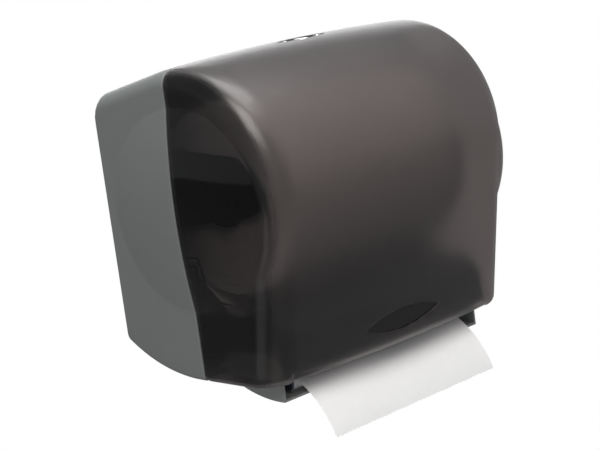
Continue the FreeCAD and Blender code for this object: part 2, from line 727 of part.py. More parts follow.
def arm_plate():
    """Right-hand arm blade with hub boss, stiffening ribs and a bore for the hub's stub."""
    blade = plate_x(ARM_CORNERS, ARM_RADII, ARM_IN, ARM_IN + ARM_T)
    boss = rod_x(ARM_IN, ARM_IN + ARM_T + 5, ROLL_Y, 0, 13.0)
    ring = rod_x(ARM_IN, ARM_IN + ARM_T + 2.5, ROLL_Y, 0, 25.0).cut(rod_x(ARM_IN - 1, ARM_IN + 20, ROLL_Y, 0, 22.5))
    ribs = []
    for z in (-14.0, 30.0):
        ribs.append(box(ARM_IN, ARM_IN + ARM_T + 4, -92.0, -21.0, z - 1.2, z + 1.2))
    body = fuse_all([blade, boss, ring] + ribs)
    return body.cut(rod_x(ARM_IN - 1, ARM_IN + 20, ROLL_Y, 0, HUB_STUB_R + RUN))


def left_arm():
    """Fixed arm with a foot on the back wall."""
    blade = mirror_x(arm_plate())
    foot = plate_y([(-ARM_IN - 24, -38), (-ARM_IN - 24, 52), (-ARM_IN, 52), (-ARM_IN, -38)],
                   [5, 5, 0, 0], -WALL - SEAT - 4, -WALL - SEAT)
    root = box(-ARM_IN - ARM_T, -ARM_IN, -21.0, -WALL - SEAT, -38, 52)
    body = fuse_all([blade, foot, root])
    for z in (-24.0, 38.0):
        body = body.cut(rod_y(-20, 0, -ARM_IN - 14, z, 2.2))
    return body


KNUCKLE_R = 5.5
KNUCKLE_LOW = -26.0
KNUCKLE_HIGH = 40.0


def right_arm():
    """Swinging arm: the blade ends in a knuckle on a vertical pin."""
    blade = arm_plate()
    knuckle = rod_z(KNUCKLE_LOW, KNUCKLE_HIGH, ARM_PIVOT_X, ARM_PIVOT_Y, KNUCKLE_R)
    bridge = box(ARM_IN, ARM_PIVOT_X + 2, -21.0, ARM_PIVOT_Y, KNUCKLE_LOW, KNUCKLE_HIGH)
    body = fuse_all([blade.cut(box(0, FAR, -21.5, 0, -FAR, FAR)), knuckle, bridge,
                     box(ARM_IN, ARM_IN + ARM_T, -22.5, -20.0, -26.0, 40.0)])
    return body.cut(rod_z(KNUCKLE_LOW - 1, KNUCKLE_HIGH + 1, ARM_PIVOT_X, ARM_PIVOT_Y, PIVOT_R + RUN))


def arm_bracket():
    """Clevis on the back wall for the swinging arm's pin."""
    back = plate_y([(ARM_PIVOT_X - 13, -42), (ARM_PIVOT_X - 13, 56), (ARM_PIVOT_X + 21, 56), (ARM_PIVOT_X + 21, -42)],
                   [4, 4, 4, 4], -WALL - SEAT - 2.5, -WALL - SEAT)
    ears = []
    for z0, z1 in ((KNUCKLE_LOW - SEAT - 4, KNUCKLE_LOW - SEAT), (KNUCKLE_HIGH + SEAT, KNUCKLE_HIGH + SEAT + 4)):
        ears.append(box(ARM_PIVOT_X - 6, ARM_PIVOT_X + 6, ARM_PIVOT_Y, -WALL - SEAT - 1, z0, z1))
        ears.append(rod_z(z0, z1, ARM_PIVOT_X, ARM_PIVOT_Y, 6))
    body = fuse_all([back] + ears)
    body = body.cut(rod_z(-60, 60, ARM_PIVOT_X, ARM_PIVOT_Y, PIVOT_R + RUN))
    for z in (-36.0, 50.0):
        body = body.cut(rod_y(-20, 0, ARM_PIVOT_X + 14, z, 2.2))
    return body


def arm_pivot_pin():
    """Headed pin through bracket and knuckle."""
    z1 = KNUCKLE_HIGH + SEAT + 4
    pin = rod_z(KNUCKLE_LOW - SEAT - 6, z1 + 0.1, ARM_PIVOT_X, ARM_PIVOT_Y, PIVOT_R)
    head = rod_z(z1 + 0.1, z1 + 1.8, ARM_PIVOT_X, ARM_PIVOT_Y, 3.6)
    return pin.fuse(head).removeSplitter()


def arm_screws():
    """Pan-head screws that hold the left arm's foot and the right arm's bracket."""
    screws = []
    for x, z, front in ((-ARM_IN - 14, -24.0, -WALL - SEAT - 4), (-ARM_IN - 14, 38.0, -WALL - SEAT - 4),
                        (ARM_PIVOT_X + 14, -36.0, -WALL - SEAT - 2.5), (ARM_PIVOT_X + 14, 50.0, -WALL - SEAT - 2.5)):
        head = rod_y(front - 2.6, front - 0.1, x, z, 4.0)
        shank = rod_y(front - 0.5, -WALL - 0.1, x, z, 2.0)
        cross = fuse_all([box(x - 2.4, x + 2.4, front - 3, front - 1.4, z - 0.45, z + 0.45),
                          box(x - 0.45, x + 0.45, front - 3, front - 1.4, z - 2.4, z + 2.4)])
        screws.append(head.fuse(shank).cut(cross))
    return Part.makeCompound(screws)


FRAME_CORNERS = [(-WALL - SEAT, -98.0), (-WALL - SEAT, -132.0), (-48.0, -158.5), (-96.0, -164.6),
                 (-112.0, -166.8), (-136.0, -182.0), (-160.0, -190.0), (-178.0, -190.0),
                 (-181.0, -160.0), (-180.0, -132.0), (-168.0, -118.0), (-60.0, -116.0), (-30.0, -98.0)]
FRAME_RADII = [0, 0, 20, 20, 20, 20, 8, 4, 12, 10, 8, 12, 8]


def frame_plate():
    """Right-hand side plate of the dispensing unit with roller bearing holes."""
    _, pinch = nip_places()
    body = plate_x(FRAME_CORNERS, FRAME_RADII, FRAME_IN, FRAME_IN + FRAME_T)
    body = body.cut(rod_x(0, FAR, FEED_Y, FEED_Z, FEED_SHAFT_R + BUSH_WALL + SEAT / 6))
    body = body.cut(rod_x(0, FAR, pinch[0], pinch[1], PINCH_SHAFT_R + BUSH_WALL + SEAT / 6))
    window = plate_x([(-52, -118), (-52, -143), (-84, -149), (-84, -126)], [5, 5, 5, 5], FRAME_IN - 1, FRAME_IN + 9)
    return body.cut(window)


def right_frame():
    """Side plate with the stub axle hole for the compound gear."""
    centre = compound_place()
    return frame_plate().cut(rod_x(0, FAR, centre[0], centre[1], AXLE_R + SEAT / 6))


def roller_bushes():
    """Four flanged plain bearings in the side plates."""
    _, pinch = nip_places()
    bushes = []
    for (y, z), shaft in (((FEED_Y, FEED_Z), FEED_SHAFT_R), (pinch, PINCH_SHAFT_R)):
        tube = rod_x(FRAME_IN - 0.2, FRAME_IN + FRAME_T + 0.4, y, z, shaft + BUSH_WALL)
        collar = rod_x(FRAME_IN - 2.0, FRAME_IN - 0.1, y, z, shaft + BUSH_WALL + 1.5)
        bush = tube.fuse(collar).cut(rod_x(FRAME_IN - 5, FRAME_IN + 9, y, z, shaft + RUN)).removeSplitter()
        bushes += [bush, mirror_x(bush)]
    return Part.makeCompound(bushes)


def feed_roller():
    """Steel shaft with collars; its right end carries the drive gear."""
    shaft = rod_x(-FRAME_IN - FRAME_T - 4, gear_layer(0)[1], FEED_Y, FEED_Z, FEED_SHAFT_R)
    core = rod_x(-SLEEVE_HALF, SLEEVE_HALF, FEED_Y, FEED_Z, FEED_R - 4)
    return shaft.fuse(core).removeSplitter()


def feed_sleeves():
    """Rubber sleeves on the feed roller, with shallow grooves between grip bands."""
    sleeves = []
    bands = 3
    pitch = 2 * SLEEVE_HALF / bands
    for i in range(bands):
        x0 = -SLEEVE_HALF + i * pitch + 3
        x1 = x0 + pitch - 6
        tube = rod_x(x0, x1, FEED_Y, FEED_Z, FEED_R)
        grooves = 4
        for k in range(grooves):
            x = x0 + (k + 0.5) * (x1 - x0) / grooves
            groove = rod_x(x - 1.5, x + 1.5, FEED_Y, FEED_Z, FEED_R + 1).cut(rod_x(x - 2, x + 2, FEED_Y, FEED_Z, FEED_R - 0.8))
            tube = tube.cut(groove)
        sleeves.append(tube.cut(rod_x(x0 - 1, x1 + 1, FEED_Y, FEED_Z, FEED_R - 4 + RUN)))
    return Part.makeCompound(sleeves)


def pinch_roller():
    """Pinch roller: thin shaft with three plastic rolls moulded on."""
    _, (y, z) = nip_places()
    parts = [rod_x(-FRAME_IN - FRAME_T - 2, FRAME_IN + FRAME_T + 2, y, z, PINCH_SHAFT_R)]
    pitch = 2 * SLEEVE_HALF / 3
    for i in range(3):
        x0 = -SLEEVE_HALF + i * pitch + 5
        parts.append(rod_x(x0, x0 + pitch - 10, y, z, PINCH_R))
    return fuse_all(parts)


def gear_layer(index):
    """X range of a gear layer outside the right side plate."""
    x0 = FRAME_IN + FRAME_T + 1.2 + index * (GEAR_T + GEAR_GAP)
    return x0, x0 + GEAR_T


AXLE_R = 2.0
HUB_GEAR_R = 4.5


def compound_place():
    """Centre of the compound gear, up and back from the feed shaft."""
    gap = MODULE * (FEED_TEETH + SMALL_TEETH) / 2
    angle = math.radians(20.0)
    return FEED_Y + gap * math.cos(angle), FEED_Z + gap * math.sin(angle)


def motor_place():
    """Centre of the motor, up and back from the compound gear."""
    y, z = compound_place()
    gap = MODULE * (LARGE_TEETH + PINION_TEETH) / 2
    angle = math.radians(28.0)
    return y + gap * math.cos(angle), z + gap * math.sin(angle)


def involute_gear(teeth, x0, x1, y, z, phase, bore):
    """Spur gear across X: involute flanks from the base circle, radial below it."""
    pitch_r = MODULE * teeth / 2
    pressure = math.radians(20.0)
    base_r = pitch_r * math.cos(pressure)
    tip_r = pitch_r + 0.75 * MODULE
    root_r = pitch_r - 1.1 * MODULE
    thick = math.pi / (2 * teeth) - BACKLASH / (2 * pitch_r)
    involute_pitch = math.tan(pressure) - pressure

    def half_angle(r):
        if r <= base_r:
            return thick + involute_pitch
        turn = math.acos(base_r / r)
        return thick + involute_pitch - (math.tan(turn) - turn)

    steps = [max(base_r, root_r) + (tip_r - max(base_r, root_r)) * k / 3.0 for k in range(4)]
    flank = [root_r] + steps if root_r < base_r - 0.05 else steps
    points = []
    for i in range(teeth):
        centre = phase + 2 * math.pi * i / teeth
        for r in flank:
            a = centre - half_angle(r)
            points.append(V(x0, y + r * math.cos(a), z + r * math.sin(a)))
        for r in reversed(flank):
            a = centre + half_angle(r)
            points.append(V(x0, y + r * math.cos(a), z + r * math.sin(a)))
    points.append(points[0])
    body = Part.Face(Part.makePolygon(points)).extrude(V(x1 - x0, 0, 0))
    if bore > 0:
        body = body.cut(rod_x(x0 - 1, x1 + 1, y, z, bore))
    return body


def mesh_phase(driver_phase, driver_teeth, teeth, angle):
    """Phase that puts a tooth gap of the second gear on the line of centres opposite a tooth."""
    driver_pitch = 2 * math.pi / driver_teeth
    offset = (angle - driver_phase) / driver_pitch
    share = offset - math.floor(offset)
    return angle + math.pi + math.pi / teeth + share * 2 * math.pi / teeth


def gear_phases():
    """Phases of drive gear, compound small and large gears, and pinion, all in mesh."""
    cy, cz = compound_place()
    my, mz = motor_place()
    first = math.atan2(cz - FEED_Z, cy - FEED_Y)
    second = math.atan2(mz - cz, my - cy)
    small = mesh_phase(0.0, FEED_TEETH, SMALL_TEETH, first)
    large = 0.0
    pinion = mesh_phase(large, LARGE_TEETH, PINION_TEETH, second)
    return small, large, pinion


def drive_gear():
    """Gear on the feed roller's shaft."""
    x0, x1 = gear_layer(0)
    body = involute_gear(FEED_TEETH, x0, x1, FEED_Y, FEED_Z, 0.0, FEED_SHAFT_R + RUN)
    for k in range(5):
        a = 2 * math.pi * k / 5
        body = body.cut(rod_x(x0 - 1, x1 + 1, FEED_Y + 10.6 * math.cos(a), FEED_Z + 10.6 * math.sin(a), 3.0))
    return body


def compound_gear():
    """Two-step gear: small wheel on the drive gear, large wheel on the motor pinion."""
    y, z = compound_place()
    small_phase, large_phase, _ = gear_phases()
    x0, x1 = gear_layer(0)
    x2, x3 = gear_layer(1)
    small = involute_gear(SMALL_TEETH, x0, x2, y, z, small_phase, AXLE_R + RUN)
    large = involute_gear(LARGE_TEETH, x2, x3, y, z, large_phase, AXLE_R + RUN)
    for k in range(4):
        a = 2 * math.pi * k / 4 + 0.4
        large = large.cut(rod_x(x2 - 1, x3 + 1, y + 13.0 * math.cos(a), z + 13.0 * math.sin(a), 3.4))
    return small.fuse(large).removeSplitter()


COVER_PLATE_T = 2.0


def gear_plate_x():
    """X range of the outer gear plate."""
    x0 = gear_layer(1)[1] + SWING
    return x0, x0 + COVER_PLATE_T


def compound_axle():
    """Steel axle between side plate and gear plate."""
    y, z = compound_place()
    return rod_x(FRAME_IN, gear_plate_x()[1], y, z, AXLE_R)


MOTOR_R = 12.0
MOTOR_L = 20.0
MOTOR_SHAFT_R = 1.2


def gear_plate():
    """Outer plate that carries axle end and motor on three posts from the side plate."""
    cy, cz = compound_place()
    my, mz = motor_place()
    x0, x1 = gear_plate_x()
    corners = [(my + 16, mz + 16), (my + 16, mz - 12), (cy - 2, cz - 24), (cy - 24, cz - 6), (cy - 20, cz + 22)]
    body = plate_x(corners, [6, 8, 8, 8, 6], x0, x1)
    for y, z in ((my + 11, mz + 11), (my + 11, mz - 7), (cy - 17, cz + 17)):
        body = body.fuse(rod_x(FRAME_IN + FRAME_T + SEAT / 3, x0 + 0.5, y, z, 2.6))
    body = body.cut(rod_x(x0 - 1, x1 + 1, cy, cz, AXLE_R + SEAT / 6))
    body = body.cut(rod_x(x0 - 1, x1 + 1, my, mz, 4.0))
    for side in (-1, 1):
        body = body.cut(rod_x(x0 - 1, x1 + 1, my, mz + side * 8, 1.1))
    return body.removeSplitter()


def motor():
    """Small flat-sided DC motor on the gear plate."""
    y, z = motor_place()
    x0 = gear_plate_x()[1] + SEAT / 3
    can = rod_x(x0, x0 + MOTOR_L, y, z, MOTOR_R)
    can = can.common(box(x0, x0 + MOTOR_L, y - MOTOR_R, y + MOTOR_R, z - 9.5, z + 9.5))
    nose = rod_x(x0 - 1.8, x0 + 0.1, y, z, 3.6)
    cap = rod_x(x0 + MOTOR_L, x0 + MOTOR_L + 2, y, z, 8.0)
    tabs = []
    for side in (-1, 1):
        tabs.append(box(x0 + MOTOR_L, x0 + MOTOR_L + 4.2, y + side * 6 - 1, y + side * 6 + 1, z + 4.8, z + 5.6))
    body = fuse_all([can, nose, cap] + tabs)
    return body.cut(rod_x(x0 - 3, x0 + 6, y, z, MOTOR_SHAFT_R + RUN))


def motor_screws():
    """Two small screws through the gear plate into the motor's face."""
    y, z = motor_place()
    x0, x1 = gear_plate_x()
    screws = []
    for side in (-1, 1):
        head = rod_x(x0 - 1.0, x0 - 0.05, y, z + side * 8, 1.7)
        shank = rod_x(x0 - 0.5, x1, y, z + side * 8, 1.0)
        screws.append(head.fuse(shank))
    return Part.makeCompound(screws)


def motor_pinion():
    """Pinion with the motor's shaft."""
    y, z = motor_place()
    x2, x3 = gear_layer(1)
    _, _, phase = gear_phases()
    gear = involute_gear(PINION_TEETH, x2, x3 - 0.6, y, z, phase, 0)
    shaft = rod_x(x2 + 1, gear_plate_x()[1] + 6, y, z, MOTOR_SHAFT_R)
    return gear.fuse(shaft).removeSplitter()


HOOD_CORNERS = [(-134.0, HOOD_TOP_Z - HOOD_T), (-134.0, HOOD_TOP_Z), (-178.0, HOOD_TOP_Z), (-197.0, -130.0),
                (-200.5, -166.0), (-200.5 + HOOD_T, -166.0), (-194.6, -131.2), (-177.0, HOOD_TOP_Z - HOOD_T)]
HOOD_RADII = [0, 1.2, 10, 8, 0, 0, 5.5, 7.5]
BUTTON_X = FRAME_IN - 32.0
BUTTON_Y = -156.0
BUTTON_R = 6.0
BUTTON_STROKE = 2.0
SELECT_X = FRAME_IN - 78.0
SELECT_TRAVEL = 12.0


def drive_hood():
    """Moulded hood over the rollers with openings for button, selector and sensor."""
    body = plate_x(HOOD_CORNERS, HOOD_RADII, -HOOD_X, HOOD_X)
    end = plate_x([(-150.0, HOOD_TOP_Z - 1), (-177.5, HOOD_TOP_Z - 1), (-195.5, -130.5), (-198.2, -152.0),
                   (-190.0, -152.0), (-186.0, -128.0), (-172.0, -115.2), (-150.0, -115.2)],
                  [0, 5, 5, 0, 0, 0, 0, 0], HOOD_X - HOOD_T, HOOD_X)
    bridge = box(-FRAME_IN + SEAT, FRAME_IN - SEAT, -176.0, -170.0, HOOD_TOP_Z - 5, HOOD_TOP_Z - 1)
    body = fuse_all([body, end, mirror_x(end), bridge])
    body = body.cut(rod_z(HOOD_TOP_Z - 5, HOOD_TOP_Z + 5, BUTTON_X, BUTTON_Y, BUTTON_R - 1.5 + SEAT))
    slot = box(SELECT_X - 3 - SEAT, SELECT_X + 3 + SELECT_TRAVEL + SEAT, BUTTON_Y - 2 - SEAT, BUTTON_Y + 2 + SEAT,
               HOOD_TOP_Z - 5, HOOD_TOP_Z + 5)
    return body.cut(slot)


def feed_button():
    """Round push button for advancing paper by hand."""
    z0 = HOOD_TOP_Z + BUTTON_STROKE + SEAT
    cap = rod_z(z0, z0 + 3.0, BUTTON_X, BUTTON_Y, BUTTON_R)
    cap = cap.makeFillet(1.0, [cap.Edges[0]])
    stem = rod_z(HOOD_TOP_Z - HOOD_T - 1.5, z0 + 0.2, BUTTON_X, BUTTON_Y, BUTTON_R - 1.5)
    return cap.fuse(stem).removeSplitter()


def button_switch():
    """Tactile switch under the button, hung from the hood."""
    z1 = HOOD_TOP_Z - HOOD_T - 1.5 - BUTTON_STROKE - SEAT
    body = box(BUTTON_X - 6, BUTTON_X + 6, BUTTON_Y - 6, BUTTON_Y + 6, z1 - 3.5, z1)
    legs = []
    for side in (-1, 1):
        x = BUTTON_X + side * 7.5
        legs.append(box(x - 1.5, x + 1.5, BUTTON_Y - 3, BUTTON_Y + 3, z1 - 3.5, HOOD_TOP_Z - HOOD_T - SEAT / 3))
    return fuse_all([body] + legs)


def length_selector():
    """Slide knob for the towel length."""
    knob = box(SELECT_X - 5, SELECT_X + 5, BUTTON_Y - 5, BUTTON_Y + 5, HOOD_TOP_Z + SEAT, HOOD_TOP_Z + 3.2)
    ridges = []
    for k in range(-1, 2):
        ridges.append(box(SELECT_X + k * 2.5 - 0.6, SELECT_X + k * 2.5 + 0.6, BUTTON_Y - 4, BUTTON_Y + 4,
                          HOOD_TOP_Z + 3.1, HOOD_TOP_Z + 4.2))
    neck = box(SELECT_X - 3, SELECT_X + 3, BUTTON_Y - 2, BUTTON_Y + 2, HOOD_TOP_Z - HOOD_T - SEAT - 1.5,
               HOOD_TOP_Z + SEAT + 0.1)
    foot = box(SELECT_X - 5, SELECT_X + 5, BUTTON_Y - 4, BUTTON_Y + 4, HOOD_TOP_Z - HOOD_T - SEAT - 3.0,
               HOOD_TOP_Z - HOOD_T - SEAT)
    return fuse_all([knob, neck, foot] + ridges)


SENSOR_Z = -147.0


def hood_front_y(z):
    """Front face of the hood at height z."""
    share = (z + 130.0) / (-166.0 + 130.0)
    return -197.0 + share * (-200.5 + 197.0)


def sensor_module():
    """Box on the hood's front that looks out through the window."""
    y1 = hood_front_y(SENSOR_Z - 7) - SEAT
    body = box(-34, 34, y1 - 3.2, y1, SENSOR_Z - 7, SENSOR_Z + 7)
    for side in (-1, 1):
        body = body.cut(rod_y(y1 - 4, y1 - 1.4, side * 20, SENSOR_Z, 4.2))
    return body


def sensor_eyes():
    """Infrared emitter and receiver domes in the sensor box."""
    y1 = hood_front_y(SENSOR_Z - 7) - SEAT
    eyes = []
    for side in (-1, 1):
        dome = Part.makeSphere(4.0, V(side * 20, y1 + 0.6, SENSOR_Z))
        eyes.append(dome.common(box(-60, 60, y1 - 9, y1 - 1.5, SENSOR_Z - 9, SENSOR_Z + 9)))
    return Part.makeCompound(eyes)


def tear_bar():
    """Toothed steel blade that stands just under the paper."""
    tips = 42
    low = -191.5
    valley = -180.6
    tip = -178.9
    width = 2 * (LEDGE_X - 1.0)
    pitch = width / tips
    points = [V(-width / 2, BLADE_Y, low), V(width / 2, BLADE_Y, low), V(width / 2, BLADE_Y, valley)]
    for i in range(tips):
        x = width / 2 - i * pitch
        points.append(V(x - pitch / 2, BLADE_Y, tip))
        points.append(V(x - pitch, BLADE_Y, valley))
    points.append(points[0])
    face = Part.Face(Part.makePolygon(points))
    face.translate(V(0, -BLADE_T / 2, 0))
    body = face.extrude(V(0, BLADE_T, 0))
    for k in range(-1, 2):
        body = body.cut(rod_y(BLADE_Y - 3, BLADE_Y + 3, k * BLADE_SCREW_X, -187.0, 1.7))
    return body


def tear_bar_screws():
    """Three countersunk-style screws that hold the blade to its ledge."""
    screws = []
    front = BLADE_Y - BLADE_T / 2
    for k in range(-1, 2):
        x = k * BLADE_SCREW_X
        head = rod_y(front - 1.3, front - 0.1, x, -187.0, 2.8)
        shank = rod_y(front - 0.5, BLADE_Y + 0.6, x, -187.0, 1.5)
        slot = box(x - 2.9, x + 2.9, front - 2, front - 0.8, -187.35, -186.65)
        screws.append(head.fuse(shank).cut(slot))
    return Part.makeCompound(screws)


def box_half():
    """Half length of the battery box outside."""
    return CELLS * CELL_L / 2 + CONTACT_T + BOX_WALL + 1.0


def box_depths():
    """Back and front of the battery box."""
    back = -WALL - SEAT
    return back, back - BOX_WALL - 2 * CELL_R - 1.5


def box_low_z():
    """Underside of the battery box."""
    return BOX_TOP_Z - 2 * BOX_WALL - 2 * CELL_R - 1.0


def cell_axis():
    """Axis of the row of cells, (y, z)."""
    back, _ = box_depths()
    return back - BOX_WALL - CELL_R - 0.5, box_low_z() + BOX_WALL + CELL_R + 0.5


DOOR_T = 2.0
DOOR_BARREL_R = 2.4
DOOR_PIN_R = 1.0


def door_axis():
    """Hinge line of the battery door, (y, z)."""
    _, front = box_depths()
    return front - DOOR_BARREL_R - 0.4, box_low_z() + 1.0


def battery_box():
    """Open-fronted tray for a row of D cells, with ears for its door."""
    back, front = box_depths()
    half = box_half()
    low = box_low_z()
    body = box(-half, half, front, back, low, BOX_TOP_Z)
    body = body.cut(box(-half + BOX_WALL, half - BOX_WALL, front - 1, back - BOX_WALL, low + BOX_WALL,
                        BOX_TOP_Z - BOX_WALL))
    y, z = door_axis()
    for x in (-half, half - 4):
        ear = plate_x([(front + 0.5, z - 3), (y - 3, z - 3), (y - 3, z + 3), (front + 0.5, z + 3)],
                      [0, 2.5, 2.5, 0], x, x + 4)
        body = body.fuse(ear)
    body = body.cut(rod_x(-half - 1, half + 1, y, z, DOOR_PIN_R + RUN))
    return body.removeSplitter()


def battery_cells():
    """Row of four D cells, each with its raised end."""
    y, z = cell_axis()
    start = -CELLS * CELL_L / 2
    cells = []
    for i in range(CELLS):
        x0 = start + i * CELL_L + 0.1
        can = rod_x(x0, x0 + CELL_L - 2.4, y, z, CELL_R)
        can = can.makeFillet(1.2, [can.Edges[0], can.Edges[2]])
        nub = rod_x(x0 + CELL_L - 2.5, x0 + CELL_L - 0.2, y, z, 4.6)
        cells.append(can.fuse(nub).removeSplitter())
    return Part.makeCompound(cells)


def battery_contacts():
    """Flat plate at one end of the row and a cone spring, as stepped turns, at the other."""
    y, z = cell_axis()
    end = CELLS * CELL_L / 2
    plate = box(end + 0.3, end + 1.3, y - 9, y + 9, z - 9, z + 9)
    foot = box(-end - 3.6, -end - 2.9, y - 11, y + 11, z - 11, z + 11)
    turns = []
    for k in range(3):
        x0 = -end - 3.0 + k * 0.95
        r = 9.0 - k * 2.0
        turns.append(rod_x(x0, x0 + 1.0, y, z, r).cut(rod_x(x0 - 1, x0 + 2, y, z, r - 2.2)))
    return Part.makeCompound([plate, fuse_all([foot] + turns)])


def battery_door():
    """Flat lid on the front of the battery box, hinged along its foot."""
    _, front = box_depths()
    half = box_half() - 4.5
    y, z = door_axis()
    top = BOX_TOP_Z - 0.5
    barrel = rod_x(-half, half, y, z, DOOR_BARREL_R)
    lid = box(-half, half, front - SEAT - DOOR_T, front - SEAT, z + 1.0, top)
    neck = box(-half, half, y - 0.4, front - SEAT, z, z + 3.0)
    thumb = box(-12, 12, front - SEAT - DOOR_T - 1.6, front - SEAT - 0.5, top - 5, top - 2)
    body = fuse_all([barrel, lid, neck, thumb])
    return body.cut(rod_x(-half - 1, half + 1, y, z, DOOR_PIN_R + RUN))


def battery_door_pin():
    """Long pin through ears and door barrel."""
    y, z = door_axis()
    half = box_half()
    return rod_x(-half + 0.5, half - 0.5, y, z, DOOR_PIN_R)


BOARD_T = 1.6
BOARD_Y0 = -78.0
BOARD_Y1 = -16.0
BOARD_Z0 = -126.0
BOARD_Z1 = -66.0


def control_board():
    """Printed circuit board beside the left side plate."""
    board = box(BOARD_X - BOARD_T, BOARD_X, BOARD_Y0, BOARD_Y1, BOARD_Z0, BOARD_Z1)
    for y in (BOARD_Y0 + 4, BOARD_Y1 - 4):
        for z in (BOARD_Z0 + 4, BOARD_Z1 - 4):
            board = board.cut(rod_x(BOARD_X - 5, BOARD_X + 5, y, z, 1.7))
    return board


def board_tray():
    """Plastic tray that holds the board off the back wall."""
    x1 = BOARD_X + 6.0
    tray = box(x1 - 2.0, x1, BOARD_Y0, -WALL - SEAT, BOARD_Z0 - 2, BOARD_Z1 + 2)
    foot = box(x1 - 12.0, x1, -WALL - SEAT - 2.5, -WALL - SEAT, BOARD_Z0 - 2, BOARD_Z1 + 2)
    parts = [tray, foot]
    for y in (BOARD_Y0 + 4, BOARD_Y1 - 4):
        for z in (BOARD_Z0 + 4, BOARD_Z1 - 4):
            parts.append(rod_x(BOARD_X + SEAT / 6, x1 - 1, y, z, 3.2))
            parts.append(rod_x(BOARD_X - BOARD_T - 1.0, x1 - 1, y, z, 1.6))
    return fuse_all(parts)


def board_parts():
    """Chip, capacitor, relay and plug sockets on the board."""
    face = BOARD_X - BOARD_T - 0.05
    chip = box(face - 2.0, face, -56, -44, -104, -92)
    relay = box(face - 11, face, -74, -60, -118, -98)
    cap = Part.makeCylinder(5.0, 13.0, V(face - 5.0, -36, -116), AXIS_Z)
    cap_seat = box(face - 5.0, face, -39, -33, -116, -103)
    plugs = []
    for index in range(3):
        plugs.append(box(face - 7, face, plug_y(index) - 5, plug_y(index) + 5, PLUG_TOP_Z - 7, PLUG_TOP_Z))
    return Part.makeCompound([chip, relay, cap.fuse(cap_seat)] + plugs)


def bent_wire(points, bends, radius):
    """Round wire along straight runs joined by tangent arcs."""
    edges = []
    here = points[0]
    for i in range(1, len(points) - 1):
        before = (points[i - 1] - points[i]).normalize()
        after = (points[i + 1] - points[i]).normalize()
        inner = before.getAngle(after)
        reach = bends[i - 1] / math.tan(inner / 2)
        a = points[i] + before * reach
        b = points[i] + after * reach
        half_way = (before + after).normalize()
        mid = points[i] + half_way * (bends[i - 1] / math.sin(inner / 2) - bends[i - 1])
        edges.append(Part.LineSegment(here, a).toShape())
        edges.append(Part.Arc(a, mid, b).toShape())
        here = b
    edges.append(Part.LineSegment(here, points[-1]).toShape())
    path = Part.Wire(edges)
    first = (points[1] - points[0]).normalize()
    ring = Part.Wire(Part.Circle(points[0], first, radius).toShape())
    tube = path.makePipeShell([ring], True, False)
    expected = math.pi * radius ** 2 * path.Length
    print("wire volume against section times length: %.4f" % (tube.Volume / expected))
    return tube


LEAD_R = 1.1
LEAD_TOP_Z = -56.0
LEAD_SIDE_X = -FRAME_IN - 8.5
PLUG_X = BOARD_X - BOARD_T - 3.55
PLUG_TOP_Z = -73.0


def plug_y(index):
    """Middle of a plug socket on the board."""
    return -69.0 + 14.0 * index


def battery_lead():
    """Lead from the battery box's end to the board's middle socket."""
    y, _ = cell_axis()
    z = BOX_TOP_Z - 3.0
    x = LEAD_SIDE_X + 0.7
    return bent_wire([V(-box_half() - 0.15, y, z), V(x, y, z), V(x, y - 18, LEAD_TOP_Z),
                      V(PLUG_X, plug_y(1), LEAD_TOP_Z), V(PLUG_X, plug_y(1), PLUG_TOP_Z + 0.1)],
                     [4.0, 7.0, 4.0], LEAD_R)


def motor_lead():
    """Lead from the motor's tabs along the back wall to the board's rear socket."""
    y, z = motor_place()
    x = gear_plate_x()[1] + SEAT / 3 + MOTOR_L + 3.1
    z0 = z + 5.6 + LEAD_R + 0.1
    back_y = -WALL - 6.0
    return bent_wire([V(x, y - 7, z0), V(x, -60, z0), V(FRAME_IN + 18, back_y, -80),
                      V(-FRAME_IN + 14, back_y, -80), V(BOARD_X - 2, back_y, LEAD_TOP_Z),
                      V(PLUG_X, plug_y(2), LEAD_TOP_Z), V(PLUG_X, plug_y(2), PLUG_TOP_Z + 0.1)],
                     [14.0, 14.0, 12.0, 7.0, 4.0], LEAD_R)


def sensor_lead():
    """Lead from the sensor box over the hood to the board's front socket."""
    y1 = hood_front_y(SENSOR_Z - 7) - SEAT
    top = HOOD_TOP_Z + LEAD_R + 0.15
    x = -26.0
    side = LEAD_SIDE_X
    return bent_wire([V(x, y1 - 1.6, SENSOR_Z + 7.1), V(x, y1 - 0.6, SENSOR_Z + 18.5), V(x, -178.5, top),
                      V(x, -152, top), V(side, -152, top), V(side, -84, -100.0), V(side, -76, LEAD_TOP_Z),
                      V(PLUG_X, plug_y(0), LEAD_TOP_Z), V(PLUG_X, plug_y(0), PLUG_TOP_Z + 0.1)],
                     [6.0, 6.0, 5.0, 5.0, 12.0, 6.0, 4.0], LEAD_R)


NODES = {}


def build():
    """Make every piece once."""
    blank = shell_blank()
    NODES["rear_housing"] = rear_housing(blank)
    NODES["front_cover"] = front_cover(blank)
    makers = [cover_hinge_pins, sensor_window, lock_plate, lock_barrel, lock_screws, lock_cylinder, lock_cam,
              latch_catch, paper_chute, tear_bar, tear_bar_screws, right_frame, roller_bushes, feed_roller,
              feed_sleeves, pinch_roller, drive_gear, compound_gear, compound_axle, gear_plate, motor,
              motor_screws, motor_pinion, drive_hood, feed_button, button_switch, length_selector,
              sensor_module, sensor_eyes, battery_box, battery_cells, battery_contacts, battery_door,
              battery_door_pin, control_board, board_tray, board_parts, towel_roll, roll_core, left_arm,
              right_arm, arm_bracket, arm_pivot_pin, arm_screws, paper_web, paper_tail, battery_lead,
              motor_lead, sensor_lead]
    for maker in makers:
        NODES[maker.__name__] = maker()
    NODES["left_frame"] = mirror_x(frame_plate())
    NODES["right_hub"] = hub()
    NODES["left_hub"] = mirror_x(hub())


